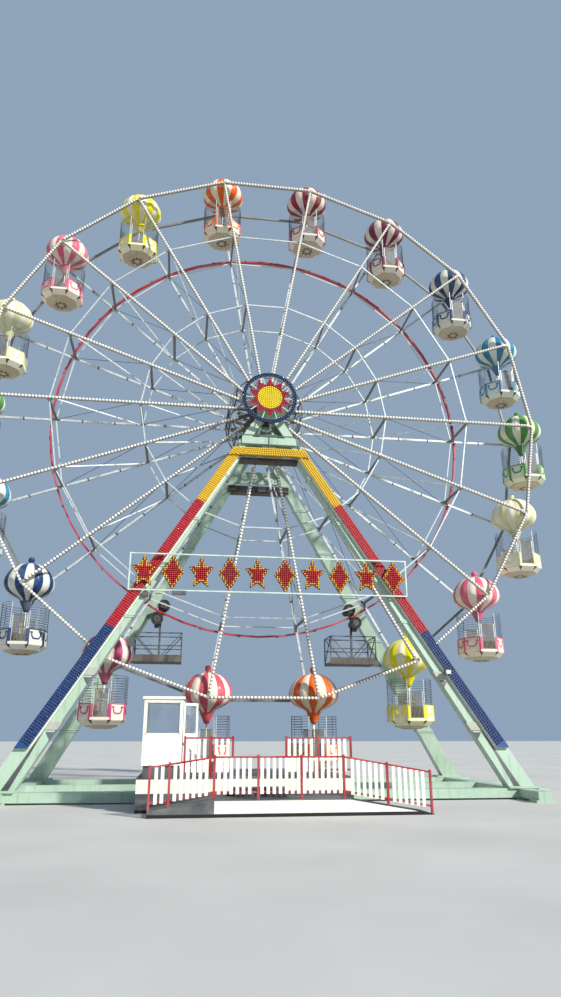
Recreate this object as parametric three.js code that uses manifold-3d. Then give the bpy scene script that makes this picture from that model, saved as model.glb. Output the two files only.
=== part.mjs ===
// Giant wheel with eighteen balloon gondolas on two A-frames, with its drives and loading platform.
// Millimetres, +Z up, the front faces -Y, the origin lies on the ground under the hub.
import * as THREE from 'three';
import { mergeVertices } from 'three/addons/utils/BufferGeometryUtils.js';
import Module from 'manifold-3d';

const wasm = await Module();
wasm.setup();

// Driving dimensions
const GONDOLAS = 18;
const STEP = (2 * Math.PI) / GONDOLAS;
const HUB_HEIGHT = 15200;
const RIM_RADIUS = 12000;
const PIVOT_RADIUS = 11940;
const PLANE = 1110;
const CHORD = 90;
const RIM_DEPTH = 96;
const GAP = 0.3;
const INNER_TIE = { front: 5280, rear: 5260 };
const OUTER_TIE = { front: 8970, rear: 9020 };
const TIE_BAR = 50;
const STRUT_DEPTH = 100;
const DRIVE_RING_RADIUS = 9260;
const DRIVE_RING_Y = 1280;
const DRIVE_RING_HALF = { radial: 35, axial: 80 };
const DRIVE_RING_STEPS = 54;
const HUB_DRUM_RADIUS = 450;
const HUB_DRUM_HALF = 1400;
const HUB_PLATE_RADIUS = 800;
const HUB_ARM_RADIUS = 1620;
const BEARING_FACE = 1500;

// Balloon gondola, measured from its pivot
const BALLOON_RADIUS = 970;
const FINIAL_TOP = 1200;
const CUP_BOTTOM = -970;
const TUB_TOP = -1700;
const TUB_EDGE = -2270;
const TUB_FLOOR = -2230;
const TUB_BOTTOM = -2570;
const TUB_RADIUS = 920;
const TUB_WALL = 55;
const GATE_HALF = 265;
const GATE_TOP = -1170;
const HOOP_TOP = -690;
const POLE_RADIUS = 55;
const PIN_RADIUS = 55;

// A-frames: outer edge of a leg and its outer face, at a height given from the hub
const LEG_SPREAD = 0.606;
const LEG_LEAN = 0.125;
const LEG_KNEE = -2360;
const LEG_KNEE_X = 1480;
const LEG_FACE = 2180;
const LEG_DEPTH = 450;
const LEG_WIDTH = { front: { knee: 520, growth: 0.033 }, rear: { knee: 440, growth: 0.02 } };
const ARM_WIDTH = 400;
const LEG_TOP = -250;
const ARM_BOTTOM = -2230;
const PANEL_WIDTH = 435;
const PANEL_THICK = 130;
const PANEL_TOP = -2290;
const PANEL_BOTTOM = -13540;
const HEAD_BOARD_TOP = -2280;
const HEAD_BOARD_BOTTOM = -2600;
const HEAD_FLOOR = -2720;

// Ground works
const BEAM_TOP = 350;
const PAD = 60;
const FOOT_X = 8620;
const FOOT_Y = 3520;
const UPPER_DECK = 910;
const WALKWAY = 425;
const WALKWAY_FRONT = -8100;
const DECK_LEFT = -4230;
const DECK_RIGHT = 1975;
const DECK_FRONT = -6760;
const DECK_BACK = -1010;
const STEP_LEFT = -1495;
const STEP_RIGHT = -25;
const FENCE_HEIGHT = 1120;

// Drives
const DRIVE_ANGLE = THREE.MathUtils.degToRad(26);
const TYRE_RADIUS = 250;
const TYRE_WIDTH = 150;
const TYRE_CLEARANCE = 6;

const COLOURS = {
  cream: 0xe9e0c4, pink: 0xe58f98, yellow: 0xd9d030, orange: 0xd9762b, maroon: 0x8e2440,
  plum: 0x7a2c4a, navy: 0x1f3b63, teal: 0x2f7fa3, green: 0x4c8a45,
  steel: 0xb9c4c9, dark: 0x33373a, mint: 0xbfe3cf, red: 0xb3242f, white: 0xf3f1ea,
  bulb_yellow: 0xf0b719, blue: 0x14479c, rubber: 0x1b1b1c, tread: 0x55595c,
};
const GONDOLA_COLOURS = ['maroon', 'plum', 'navy', 'teal', 'green', 'cream', 'pink', 'yellow', 'orange'];

const group = new THREE.Group();

// Solids
function toSolid(geometry) {
  const bare = geometry.clone();
  bare.deleteAttribute('normal');
  bare.deleteAttribute('uv');
  const merged = mergeVertices(bare, 1e-3);
  return new wasm.Manifold(new wasm.Mesh({
    numProp: 3,
    vertProperties: Float32Array.from(merged.attributes.position.array),
    triVerts: Uint32Array.from(merged.index.array),
  }));
}

function toGeometry(solid) {
  const mesh = solid.getMesh();
  const geometry = new THREE.BufferGeometry();
  geometry.setAttribute('position', new THREE.BufferAttribute(Float32Array.from(mesh.vertProperties), 3));
  geometry.setIndex(Array.from(mesh.triVerts));
  return geometry;
}

function join(geometries) {
  return geometries.map(toSolid).reduce((whole, piece) => whole.add(piece));
}

function cut(solid, geometries) {
  return geometries.map(toSolid).reduce((whole, piece) => whole.subtract(piece), solid);
}

function addMesh(name, geometry, colour, parent = group, roughness = 0.5, metalness = 0.2) {
  const material = new THREE.MeshStandardMaterial({ color: COLOURS[colour], roughness, metalness });
  const mesh = new THREE.Mesh(geometry, material);
  mesh.name = name;
  parent.add(mesh);
  return mesh;
}

// A box given by its low and high corners
function box(low, high) {
  const geometry = new THREE.BoxGeometry(high[0] - low[0], high[1] - low[1], high[2] - low[2]);
  return geometry.translate((low[0] + high[0]) / 2, (low[1] + high[1]) / 2, (low[2] + high[2]) / 2);
}

// A bar of rectangular section from one point to another; its height lies near the given up direction
function bar(from, to, width, height = width, up = new THREE.Vector3(0, 1, 0)) {
  const start = new THREE.Vector3(...from);
  const end = new THREE.Vector3(...to);
  const along = end.clone().sub(start);
  const length = along.length();
  along.normalize();
  const side = new THREE.Vector3().crossVectors(up, along).normalize();
  const rise = new THREE.Vector3().crossVectors(along, side);
  const turn = new THREE.Matrix4().makeBasis(side, rise, along);
  turn.setPosition(start.add(end).multiplyScalar(0.5));
  return new THREE.BoxGeometry(width, height, length).applyMatrix4(turn);
}

// A round bar along Y
function rod(radius, y0, y1, x, z, sides) {
  const geometry = new THREE.CylinderGeometry(radius, radius, y1 - y0, sides);
  return geometry.translate(x, (y0 + y1) / 2, z);
}

// A flat ring with straight sides in the wheel's plane, one corner at each spoke
function polygonRing(outer, inner, y0, y1) {
  const corner = (radius, index) => {
    const angle = (index + 0.5) * STEP;
    return new THREE.Vector2(radius * Math.sin(angle), radius * Math.cos(angle));
  };
  const corners = [...Array(GONDOLAS).keys()];
  const shape = new THREE.Shape(corners.map((index) => corner(outer, index)));
  shape.holes.push(new THREE.Path(corners.map((index) => corner(inner, index)).reverse()));
  const geometry = new THREE.ExtrudeGeometry(shape, { depth: y1 - y0, bevelEnabled: false });
  return geometry.rotateX(Math.PI / 2).translate(0, y1, 0);
}

// Extrudes an outline drawn in X and Z from y0 to y1
function plateXZ(points, y0, y1) {
  const shape = new THREE.Shape(points.map(([x, z]) => new THREE.Vector2(x, z)));
  const geometry = new THREE.ExtrudeGeometry(shape, { depth: y1 - y0, bevelEnabled: false });
  return geometry.rotateX(Math.PI / 2).translate(0, y1, 0);
}

// Turns a profile of [radius, z] about the vertical axis
function turned(profile, sides, phase = 0) {
  const points = profile.map(([radius, z]) => new THREE.Vector2(radius, z));
  return new THREE.LatheGeometry(points, sides, phase).rotateX(Math.PI / 2);
}

// Wheel
const atHub = new THREE.Group();
atHub.position.z = HUB_HEIGHT;
group.add(atHub);
const spokeAngle = (index) => (index + 0.5) * STEP;
const number = (index) => String(index + 1).padStart(2, '0');

function hubPlate(y0, y1) {
  const half = CHORD / 2 + 20;
  const outline = [];
  for (let index = 0; index < GONDOLAS; index += 1) {
    const angle = spokeAngle(index);
    const radial = [Math.sin(angle), Math.cos(angle)];
    const across = [Math.cos(angle), -Math.sin(angle)];
    const corners = [
      [HUB_PLATE_RADIUS, -half], [HUB_ARM_RADIUS, -half], [HUB_ARM_RADIUS, half], [HUB_PLATE_RADIUS, half],
    ];
    for (const [r, s] of corners) {
      outline.push([radial[0] * r + across[0] * s, radial[1] * r + across[1] * s]);
    }
  }
  return plateXZ(outline, y0, y1);
}

function makeHub() {
  const plateHalf = CHORD / 2;
  const parts = [rod(HUB_DRUM_RADIUS, -HUB_DRUM_HALF, HUB_DRUM_HALF, 0, 0, 18)];
  parts.push(rod(170, -BEARING_FACE + GAP, BEARING_FACE - GAP, 0, 0, 12));
  for (const side of [-1, 1]) {
    parts.push(hubPlate(side * PLANE - plateHalf, side * PLANE + plateHalf));
  }
  addMesh('hub', toGeometry(join(parts)), 'steel', atHub, 0.45, 0.5);
}

function makeSpoke(index) {
  const half = CHORD / 2;
  const tip = RIM_RADIUS - RIM_DEPTH / 2 - half * Math.tan(STEP / 2) - GAP;
  const start = HUB_ARM_RADIUS + GAP;
  const parts = [];
  for (const side of [-1, 1]) {
    parts.push(box([-half, side * PLANE - half, start], [half, side * PLANE + half, tip]));
  }
  const reach = PLANE - 20;
  const notches = [];
  for (const tie of [INNER_TIE, OUTER_TIE]) {
    const middle = (tie.front + tie.rear) / 2;
    parts.push(box([-30, -reach, middle - STRUT_DEPTH / 2], [30, reach, middle + STRUT_DEPTH / 2]));
    for (const [side, radius] of [[-1, tie.front], [1, tie.rear]]) {
      const near = side * (PLANE - half);
      const far = side * (PLANE - half - 2 * GAP - TIE_BAR);
      const low = Math.min(near, far);
      const high = low + Math.abs(near - far);
      notches.push(box([-40, low, radius - TIE_BAR / 2 - 8], [40, high, radius + TIE_BAR / 2 + GAP]));
    }
  }
  const inner = INNER_TIE.front;
  parts.push(bar([0, -reach, inner - 150], [0, reach, start + 200], 46));
  parts.push(bar([0, -reach, OUTER_TIE.front - 150], [0, reach, inner + 150], 46));
  const spoke = cut(join(parts), notches);
  const mesh = addMesh(`spoke_${number(index)}`, toGeometry(spoke), 'steel', atHub, 0.4, 0.5);
  mesh.rotation.y = spokeAngle(index);
}

function makeRims() {
  const half = CHORD / 2;
  for (const [name, side] of [['front_rim', -1], ['rear_rim', 1]]) {
    const outer = RIM_RADIUS + RIM_DEPTH / 2;
    const inner = RIM_RADIUS - RIM_DEPTH / 2;
    const ring = polygonRing(outer, inner, side * PLANE - half, side * PLANE + half);
    addMesh(name, toGeometry(toSolid(ring)), side < 0 ? 'white' : 'dark', atHub);
  }
}

// Tie rings run along the inner faces of the chords
function tieRing(radius, side) {
  const far = PLANE - CHORD / 2 - GAP;
  const near = far - TIE_BAR;
  return polygonRing(radius + TIE_BAR / 2, radius - TIE_BAR / 2, side < 0 ? -far : near, side < 0 ? -near : far);
}

function makeTieRings() {
  addMesh('tie_ring_front_inner', toGeometry(toSolid(tieRing(INNER_TIE.front, -1))), 'steel', atHub);
  addMesh('tie_ring_front_outer', toGeometry(toSolid(tieRing(OUTER_TIE.front, -1))), 'steel', atHub);
  addMesh('tie_ring_rear_inner', toGeometry(toSolid(tieRing(INNER_TIE.rear, 1))), 'steel', atHub);
}

// The flat rail that the drive tyres pinch, on a plate beside each chord from the rear outer tie ring
function makeDriveRing() {
  const { radial, axial } = DRIVE_RING_HALF;
  const profile = [[1, -1], [1, 1], [-1, 1], [-1, -1], [1, -1]].map(([rise, along]) => (
    new THREE.Vector2(DRIVE_RING_RADIUS + radial * rise, axial * along)
  ));
  const ring = new THREE.LatheGeometry(profile, DRIVE_RING_STEPS).translate(0, DRIVE_RING_Y, 0);
  const [near, bend] = [PLANE - 85, PLANE + CHORD / 2 + 20];
  const [low, mid, high] = [OUTER_TIE.rear - 40, DRIVE_RING_RADIUS - 35, DRIVE_RING_RADIUS + 10];
  const bracket = new THREE.Shape([
    new THREE.Vector2(near, low), new THREE.Vector2(bend, low), new THREE.Vector2(bend, mid),
    new THREE.Vector2(DRIVE_RING_Y, mid), new THREE.Vector2(DRIVE_RING_Y, high), new THREE.Vector2(near, high),
  ]);
  const upright = new THREE.Matrix4().makeBasis(
    new THREE.Vector3(0, 1, 0), new THREE.Vector3(0, 0, 1), new THREE.Vector3(1, 0, 0),
  );
  const parts = [ring, tieRing(OUTER_TIE.rear, 1)];
  for (let index = 0; index < GONDOLAS; index += 1) {
    const plate = new THREE.ExtrudeGeometry(bracket, { depth: 30, bevelEnabled: false }).applyMatrix4(upright);
    parts.push(plate.translate(CHORD / 2 + 1, 0, 0).rotateY(spokeAngle(index)));
  }
  addMesh('drive_ring', toGeometry(join(parts)), 'red', atHub);
}

// Gondolas
const balloonProfile = [
  [0, FINIAL_TOP], [125, FINIAL_TOP - 95], [85, FINIAL_TOP - 250], [430, 862], [730, 660], [912, 420],
  [BALLOON_RADIUS, 190], [930, 0], [790, -190], [560, -335], [265, -550], [90, CUP_BOTTOM], [0, CUP_BOTTOM],
];
const tubProfile = [
  [0, TUB_BOTTOM], [560, TUB_BOTTOM + 30], [TUB_RADIUS, TUB_EDGE], [TUB_RADIUS - 15, TUB_TOP],
  [TUB_RADIUS - 15 - TUB_WALL, TUB_TOP], [TUB_RADIUS - 20 - TUB_WALL, TUB_FLOOR], [0, TUB_FLOOR],
];

// Balloon on a pole over an eight-sided tub with a gate at the front and the rear, and a hoop round each side
function gondolaGeometry() {
  const pinEnd = PLANE - CHORD / 2 - GAP;
  const pole = new THREE.CylinderGeometry(POLE_RADIUS, POLE_RADIUS, CUP_BOTTOM - TUB_FLOOR + 120, 6);
  pole.rotateX(Math.PI / 2).translate(0, 0, (CUP_BOTTOM + TUB_FLOOR) / 2);
  const gateway = (side) => box(
    [-GATE_HALF, side * 850 - 130, TUB_FLOOR + 40], [GATE_HALF, side * 850 + 130, TUB_TOP + 10],
  );
  const tub = cut(toSolid(turned(tubProfile, 8, Math.PI / 8)), [gateway(-1), gateway(1)]);
  const parts = [turned(balloonProfile.slice().reverse(), 12), pole];
  const gate = (half, top) => [[-half, TUB_FLOOR + 60], [-half, top], [half, top], [half, TUB_FLOOR + 60]];
  const gateFrame = [...gate(GATE_HALF + 16, GATE_TOP), ...gate(GATE_HALF - 16, GATE_TOP - 32).reverse()];
  const hoop = (radius) => [67.5, 22.5, -22.5, -67.5].map((degrees) => {
    const angle = THREE.MathUtils.degToRad(degrees);
    return new THREE.Vector2(radius * Math.cos(angle), radius * Math.sin(angle));
  });
  const hoopShape = new THREE.Shape([...hoop(TUB_RADIUS - 31), ...hoop(TUB_RADIUS - 59).reverse()]);
  for (const side of [-1, 1]) {
    const y0 = side < 0 ? -pinEnd : 700;
    parts.push(rod(PIN_RADIUS, y0, y0 + pinEnd - 700, 0, 0, 6));
    const gateY = side * (TUB_RADIUS * Math.cos(Math.PI / 8) - 30);
    parts.push(plateXZ(gateFrame, gateY - 16, gateY + 16));
    const band = new THREE.ExtrudeGeometry(hoopShape, { depth: 26, bevelEnabled: false });
    parts.push(band.rotateZ(side < 0 ? Math.PI : 0).translate(0, 0, HOOP_TOP - 26));
    for (const end of [-1, 1]) {
      const x = side * (TUB_RADIUS - 45) * Math.sin(Math.PI / 8);
      const y = end * (TUB_RADIUS - 45) * Math.cos(Math.PI / 8);
      parts.push(box([x - 16, y - 16, TUB_TOP - 60], [x + 16, y + 16, HOOP_TOP - 8]));
    }
  }
  return toGeometry(join(parts).add(tub));
}

function makeGondolas() {
  const geometry = gondolaGeometry();
  for (let index = 0; index < GONDOLAS; index += 1) {
    const angle = spokeAngle(index);
    const colour = GONDOLA_COLOURS[index % GONDOLA_COLOURS.length];
    const mesh = addMesh(`gondola_${number(index)}`, geometry.clone(), colour, atHub, 0.35, 0);
    mesh.position.set(PIVOT_RADIUS * Math.sin(angle), 0, PIVOT_RADIUS * Math.cos(angle));
  }
}

// Leg edges at a height measured from the hub; the inner edge is for depth -1 front or 1 rear
const legEdge = (z) => LEG_KNEE_X + LEG_SPREAD * (LEG_KNEE - z);
const legFace = (z) => LEG_FACE + LEG_LEAN * (LEG_KNEE - z);

function legInner(z, depth) {
  const { knee, growth } = depth < 0 ? LEG_WIDTH.front : LEG_WIDTH.rear;
  return legEdge(z) - knee - growth * (LEG_KNEE - z);
}

// A slanting box of constant level section: side is -1 left or 1 right, depth -1 front or 1 rear
function slanted(side, depth, inset, width, back, thick, top, bottom) {
  const geometry = new THREE.BoxGeometry(width, thick, top - bottom);
  const middle = (top + bottom) / 2;
  const shear = new THREE.Matrix4().set(
    1, 0, -side * LEG_SPREAD, side * (legEdge(middle) - inset - width / 2),
    0, 1, -depth * LEG_LEAN, depth * (legFace(middle) - back - thick / 2),
    0, 0, 1, middle + HUB_HEIGHT,
    0, 0, 0, 1,
  );
  return geometry.applyMatrix4(shear);
}

// A leg tapers from the foot to the knee; from there a narrower arm goes on to the bearing
function leg(side, depth) {
  const bottom = BEAM_TOP + PAD / 2 - HUB_HEIGHT;
  const outline = [
    [legEdge(bottom), bottom], [legInner(bottom, depth), bottom],
    [legInner(ARM_BOTTOM, depth), ARM_BOTTOM], [legEdge(ARM_BOTTOM) - ARM_WIDTH, ARM_BOTTOM],
    [legEdge(LEG_TOP) - ARM_WIDTH, LEG_TOP], [legEdge(LEG_TOP), LEG_TOP],
  ];
  const corners = outline.map(([x, z]) => [side * x, z + HUB_HEIGHT]);
  const faces = [depth * LEG_FACE, depth * (LEG_FACE - LEG_DEPTH)];
  const lean = new THREE.Matrix4().set(
    1, 0, 0, 0,
    0, 1, -depth * LEG_LEAN, depth * LEG_LEAN * (LEG_KNEE + HUB_HEIGHT),
    0, 0, 1, 0,
    0, 0, 0, 1,
  );
  return plateXZ(corners, Math.min(...faces), Math.max(...faces)).applyMatrix4(lean);
}

function makeFrame(name, depth) {
  const near = (y0, y1) => (depth < 0 ? [-y1, -y0] : [y0, y1]);
  const parts = [leg(-1, depth), leg(1, depth)];
  const add = (x0, x1, y0, y1, z0, z1) => {
    const [low, high] = near(y0, y1);
    parts.push(box([x0, low, z0 + HUB_HEIGHT], [x1, high, z1 + HUB_HEIGHT]));
  };
  const plate = (points, y0, y1) => {
    const [low, high] = near(y0, y1);
    parts.push(plateXZ(points.map(([x, z]) => [x, z + HUB_HEIGHT]), low, high));
  };
  add(-430, 430, BEARING_FACE, 2190, -480, 430);
  plate([[-300, -470], [300, -470], [300, -860], [-300, -860]], 1780, 1990);
  add(-1090, 1090, 1830, 2190, -2080, -1730);
  add(-1060, 1060, 1760, 1900, -2320, -2060);
  const floorHalf = depth < 0 ? 1290 : 1380;
  add(-floorHalf, floorHalf, 1700, 2215, HEAD_FLOOR, HEAD_FLOOR + 70);
  if (depth > 0) {
    add(-floorHalf, floorHalf, 1700, 1730, HEAD_FLOOR, HEAD_FLOOR + 270);
  }
  add(-20, 20, 2185, 2215, HEAD_FLOOR, -1640);
  for (const x of [-1240, 1240]) {
    add(x - 20, x + 20, 2185, 2225, -2240, -1640);
  }
  for (const z of [-2070, -1680]) {
    add(-1260, 1260, 2185, 2225, z, z + 40);
  }
  for (const side of [-1, 1]) {
    const edge = side * legEdge(BEAM_TOP - HUB_HEIGHT);
    const face = legFace(BEAM_TOP - HUB_HEIGHT);
    add(Math.min(edge + side * 120, edge - side * 970), Math.max(edge + side * 120, edge - side * 970),
      face - LEG_DEPTH - 45, face + 120, BEAM_TOP + GAP - HUB_HEIGHT, BEAM_TOP + PAD - HUB_HEIGHT);
  }
  addMesh(name, toGeometry(join(parts)), 'mint', group, 0.45, 0.1);
}

// Bulb boards on the face of the front legs and on the beam between them
function makeLightPanels() {
  const parts = [];
  for (const side of [-1, 1]) {
    parts.push(slanted(side, -1, 0, PANEL_WIDTH, -PANEL_THICK, PANEL_THICK - GAP, PANEL_TOP, PANEL_BOTTOM));
  }
  const [top, bottom] = [HEAD_BOARD_TOP, HEAD_BOARD_BOTTOM];
  const mitred = [
    [-legEdge(bottom), bottom], [legEdge(bottom), bottom], [legEdge(top), top], [-legEdge(top), top],
  ];
  parts.push(plateXZ(mitred, -2410, -2260).translate(0, 0, HUB_HEIGHT));
  addMesh('light_panels', toGeometry(join(parts)), 'bulb_yellow', group, 0.4, 0);
}

// Sunburst disc in front of the hub: a ring, a star with ten points and the struts that hold them
function makeStarDisc() {
  const points = 10;
  const star = [];
  for (let index = 0; index < 2 * points; index += 1) {
    const radius = index % 2 ? 540 : 860;
    const angle = (index * Math.PI) / points;
    star.push([radius * Math.sin(angle), radius * Math.cos(angle)]);
  }
  const circle = (radius) => [...Array(30).keys()].map((index) => {
    const angle = (index * 2 * Math.PI) / 30;
    return new THREE.Vector2(radius * Math.sin(angle), radius * Math.cos(angle));
  });
  const ringShape = new THREE.Shape(circle(1130));
  ringShape.holes.push(new THREE.Path(circle(970).reverse()));
  const ring = new THREE.ExtrudeGeometry(ringShape, { depth: 70, bevelEnabled: false });
  ring.rotateX(Math.PI / 2).translate(0, -2350, 0);
  const parts = [ring, plateXZ(star, -2420, -2350), rod(220, -2360, -2190 - GAP, 0, 0, 12)];
  for (let index = 0; index < points / 2; index += 1) {
    const angle = ((index + 0.5) * 2 * Math.PI) / points;
    const half = [1000 * Math.sin(angle), 1000 * Math.cos(angle)];
    parts.push(bar([-half[0], -2375, -half[1]], [half[0], -2375, half[1]], 40, 30));
  }
  const mesh = addMesh('star_disc', toGeometry(join(parts)), 'bulb_yellow', atHub, 0.4, 0);
  mesh.position.z = -40;
}

// Bulb sign: two rails, uprights, and ten plain shapes
function makeSign() {
  const half = 5090;
  const y0 = -3125;
  const y1 = -3075;
  const top = -6900;
  const bottom = -8270;
  const rail = 45;
  const parts = [
    box([-half, y0, top - rail], [half, y1, top]),
    box([-half, y0, bottom], [half, y1, bottom + rail]),
  ];
  const count = 10;
  for (let index = 0; index < count; index += 1) {
    const x = -half + 505 + index * ((2 * half - 1010) / (count - 1));
    const middle = (top + bottom) / 2;
    const outline = [];
    const corners = index % 2 ? 4 : 10;
    for (let corner = 0; corner < corners; corner += 1) {
      const radius = index % 2 || corner % 2 === 0 ? 650 : 330;
      const angle = (corner * 2 * Math.PI) / corners;
      const squeeze = index % 2 ? 0.62 : 0.72;
      outline.push([x + squeeze * radius * Math.sin(angle), middle + radius * Math.cos(angle)]);
    }
    parts.push(plateXZ(outline, y0 + 5, y1 - 5));
  }
  for (const side of [-1, 1]) {
    parts.push(box([side * half - 25, y0, bottom], [side * half + 25, y1, top]));
    for (const [z, reach] of [[top, 230], [bottom + rail, 60]]) {
      const bracket = slanted(side, -1, 150, 200, -PANEL_THICK - GAP - reach, reach, z - 4, z - rail + 4);
      parts.push(bracket.translate(0, 0, -HUB_HEIGHT));
    }
  }
  addMesh('sign', toGeometry(join(parts)), 'red', atHub, 0.4, 0);
}

// Drives: two tyres on each side pinch the ring; a bracket from the rear leg holds them and a work platform
function drivePoint(side, radius) {
  return [side * radius * Math.sin(DRIVE_ANGLE), HUB_HEIGHT - radius * Math.cos(DRIVE_ANGLE)];
}

function makeDrive(name, side) {
  const inner = (DRIVE_RING_RADIUS - DRIVE_RING_HALF.radial) * Math.cos(Math.PI / DRIVE_RING_STEPS);
  const outer = DRIVE_RING_RADIUS + DRIVE_RING_HALF.radial;
  const radii = { inner: inner - TYRE_CLEARANCE - TYRE_RADIUS, outer: outer + TYRE_CLEARANCE + TYRE_RADIUS };
  const tyreLow = DRIVE_RING_Y - TYRE_WIDTH / 2;
  const tyreHigh = DRIVE_RING_Y + TYRE_WIDTH / 2;
  const plateLow = tyreHigh + 20;
  const parts = [];
  for (const [place, radius] of Object.entries(radii)) {
    const [x, z] = drivePoint(side, radius);
    const wheelParts = [
      rod(TYRE_RADIUS, tyreLow, tyreHigh, x, z, 24), rod(45, tyreLow - 15, plateLow - GAP, x, z, 8),
    ];
    addMesh(`drive_tyre_${name}_${place}`, toGeometry(join(wheelParts)), 'rubber', group, 0.85, 0);
    parts.push(rod(110, plateLow + 10, plateLow + 330, x, z, 10));
  }
  const [xi, zi] = drivePoint(side, radii.inner - 60);
  const [xo, zo] = drivePoint(side, radii.outer + 60);
  parts.push(bar([xi, plateLow + 15, zi], [xo, plateLow + 15, zo], 260, 30));
  const floor = HUB_HEIGHT - 10260;
  const x0 = side < 0 ? -5120 : 3120;
  const x1 = side < 0 ? -3120 : 5120;
  const y0 = 1560;
  const y1 = 2900;
  const middle = (xi + xo) / 2;
  const armZ = (zi + zo) / 2;
  const legX = side * (legInner(armZ - HUB_HEIGHT, 1) + 150);
  parts.push(box([middle - 100, plateLow + 5, armZ - 90], [middle + 100, plateLow + 120, armZ + 90]));
  parts.push(bar([middle, plateLow + 75, armZ], [legX, 2700, armZ], 180, 160, new THREE.Vector3(0, 0, 1)));
  parts.push(box([x0, y0, floor], [x1, y1, floor + 60]));
  parts.push(box([x0, y0, floor], [x1, y0 + 30, floor + 250]));
  parts.push(box([middle - 40, y0 + 40, floor], [middle + 40, y0 + 120, armZ + 60]));
  const link = side * (legInner(floor - HUB_HEIGHT, 1) + 110);
  parts.push(box([Math.min(x0, link), 2740, floor], [Math.max(x1, link), 2880, floor + 120]));
  const rail = floor + 1160;
  for (const x of [x0 + 20, x1 - 20]) {
    for (const y of [y0 + 20, y1 - 20]) {
      parts.push(box([x - 20, y - 20, floor], [x + 20, y + 20, rail]));
    }
    parts.push(box([x - 20, y0, rail - 40], [x + 20, y1, rail]));
  }
  for (const y of [y0 + 20, y1 - 20]) {
    for (const z of [rail - 40, rail - 560]) {
      parts.push(box([x0, y - 20, z], [x1, y + 20, z + 40]));
    }
  }
  const clear = [leg(side, 1).translate(0, -GAP, 0), leg(side, 1).translate(-side * GAP, 0, 0)];
  const kept = cut(join(parts), clear);
  const pieces = kept.decompose();
  const largest = pieces.reduce((best, piece) => (piece.volume() > best.volume() ? piece : best));
  addMesh(`drive_${name}`, toGeometry(largest), 'dark', group, 0.6, 0.3);
}

// Base frame: beams on the ground under the feet, with pads
function makeBaseFrame() {
  const reach = FOOT_X + 900;
  const parts = [];
  for (const y of [-FOOT_Y, 0, FOOT_Y]) {
    const half = y === 0 ? 150 : 260;
    parts.push(box([-reach, y - half, PAD], [reach, y + half, BEAM_TOP]));
  }
  for (const x of [-FOOT_X, 0, FOOT_X]) {
    const end = x === 0 ? FOOT_Y : 5200;
    parts.push(box([x - 220, -end, PAD + 10], [x + 220, end, BEAM_TOP - 10]));
    for (const y of x === 0 ? [-FOOT_Y, 0, FOOT_Y] : [-4950, -FOOT_Y, 0, FOOT_Y, 4950]) {
      parts.push(box([x - 300, y - 250, 0], [x + 300, y + 250, PAD + 20]));
    }
  }
  addMesh('base_frame', toGeometry(join(parts)), 'mint', group, 0.5, 0.1);
}

// Walkway height at a given x: level in the middle, with a ramp down at each end
const walkway = [[-3850, 165], [-2120, WALKWAY], [1405, WALKWAY], [3900, 12]];

function walkwayHeight(x) {
  const index = walkway.findIndex(([end]) => x <= end);
  const [x0, z0] = walkway[Math.max(index, 1) - 1];
  const [x1, z1] = walkway[Math.max(index, 1)];
  return z0 + ((x - x0) * (z1 - z0)) / (x1 - x0);
}

// Loading platform: upper deck on posts, walkway with ramps in front of it, a step between them
function makeDeck() {
  const outline = [[walkway[0][0], 0], [walkway[3][0], 0], ...walkway.slice().reverse()];
  const parts = [
    plateXZ(outline, WALKWAY_FRONT, DECK_FRONT + 20),
    box([DECK_LEFT, DECK_FRONT, UPPER_DECK - 90], [DECK_RIGHT, DECK_BACK, UPPER_DECK]),
    box([DECK_LEFT, DECK_FRONT, 0], [DECK_RIGHT, DECK_FRONT + 40, UPPER_DECK - 40]),
    box([STEP_LEFT, DECK_FRONT - 320, WALKWAY - 40], [STEP_RIGHT, DECK_FRONT + 20, (WALKWAY + UPPER_DECK) / 2]),
  ];
  for (const x of [DECK_LEFT, -1600, 600, DECK_RIGHT - 100]) {
    for (const y of [-5000, -2400, DECK_BACK - 200]) {
      parts.push(box([x, y, 0], [x + 100, y + 100, UPPER_DECK - 40]));
    }
    parts.push(box([x, -FOOT_Y - 50, BEAM_TOP + GAP], [x + 100, -FOOT_Y + 50, UPPER_DECK - 40]));
  }
  addMesh('loading_deck', toGeometry(join(parts)), 'tread', group, 0.7, 0.1);
}

// Operator's booth on a plinth: hollow, windows all round and a doorway in the right wall
const BOOTH = { x0: -4120, x1: -3000, y0: -6700, y1: -5500, bottom: 1230, top: 3110 };
const DOOR = { width: 600, thick: 36, low: 1290, high: 2950, y: -6540, open: THREE.MathUtils.degToRad(45) };

function makeBooth() {
  const { x0, x1, y0, y1, bottom, top } = BOOTH;
  const wall = 50;
  const shell = join([
    box([x0, y0, bottom], [x1, y1, top - 40]),
    box([x0 - 50, y0 - 50, top - 60], [x1 + 50, y1 + 50, top]),
    box([x0 + 60, y0 + 60, UPPER_DECK + GAP], [x1 - 60, y1 - 60, bottom + 20]),
    box([x1 - 10, DOOR.y - 20, DOOR.low - 40], [x1 + 40, DOOR.y + 20, DOOR.low - GAP]),
    box([x1 - 10, DOOR.y - 20, DOOR.high + GAP], [x1 + 40, DOOR.y + 20, DOOR.high + 40]),
  ]);
  const openings = [
    box([x0 + wall, y0 + wall, bottom + wall], [x1 - wall, y1 - wall, top - 110]),
    box([x0 + 90, y0 - 10, 2100], [x1 - 90, y0 + wall + 10, 2950]),
    box([x0 - 10, y0 + 120, 2100], [x0 + wall + 10, y1 - 120, 2950]),
    box([x0 + 120, y1 - wall - 10, 2100], [x1 - 120, y1 + 10, 2950]),
    box([x1 - wall - 10, DOOR.y - 5, DOOR.low - 10], [x1, DOOR.y + DOOR.width + 10, DOOR.high + 10]),
  ];
  addMesh('operator_booth', toGeometry(cut(shell, openings)), 'white', group, 0.5, 0);
}

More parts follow.
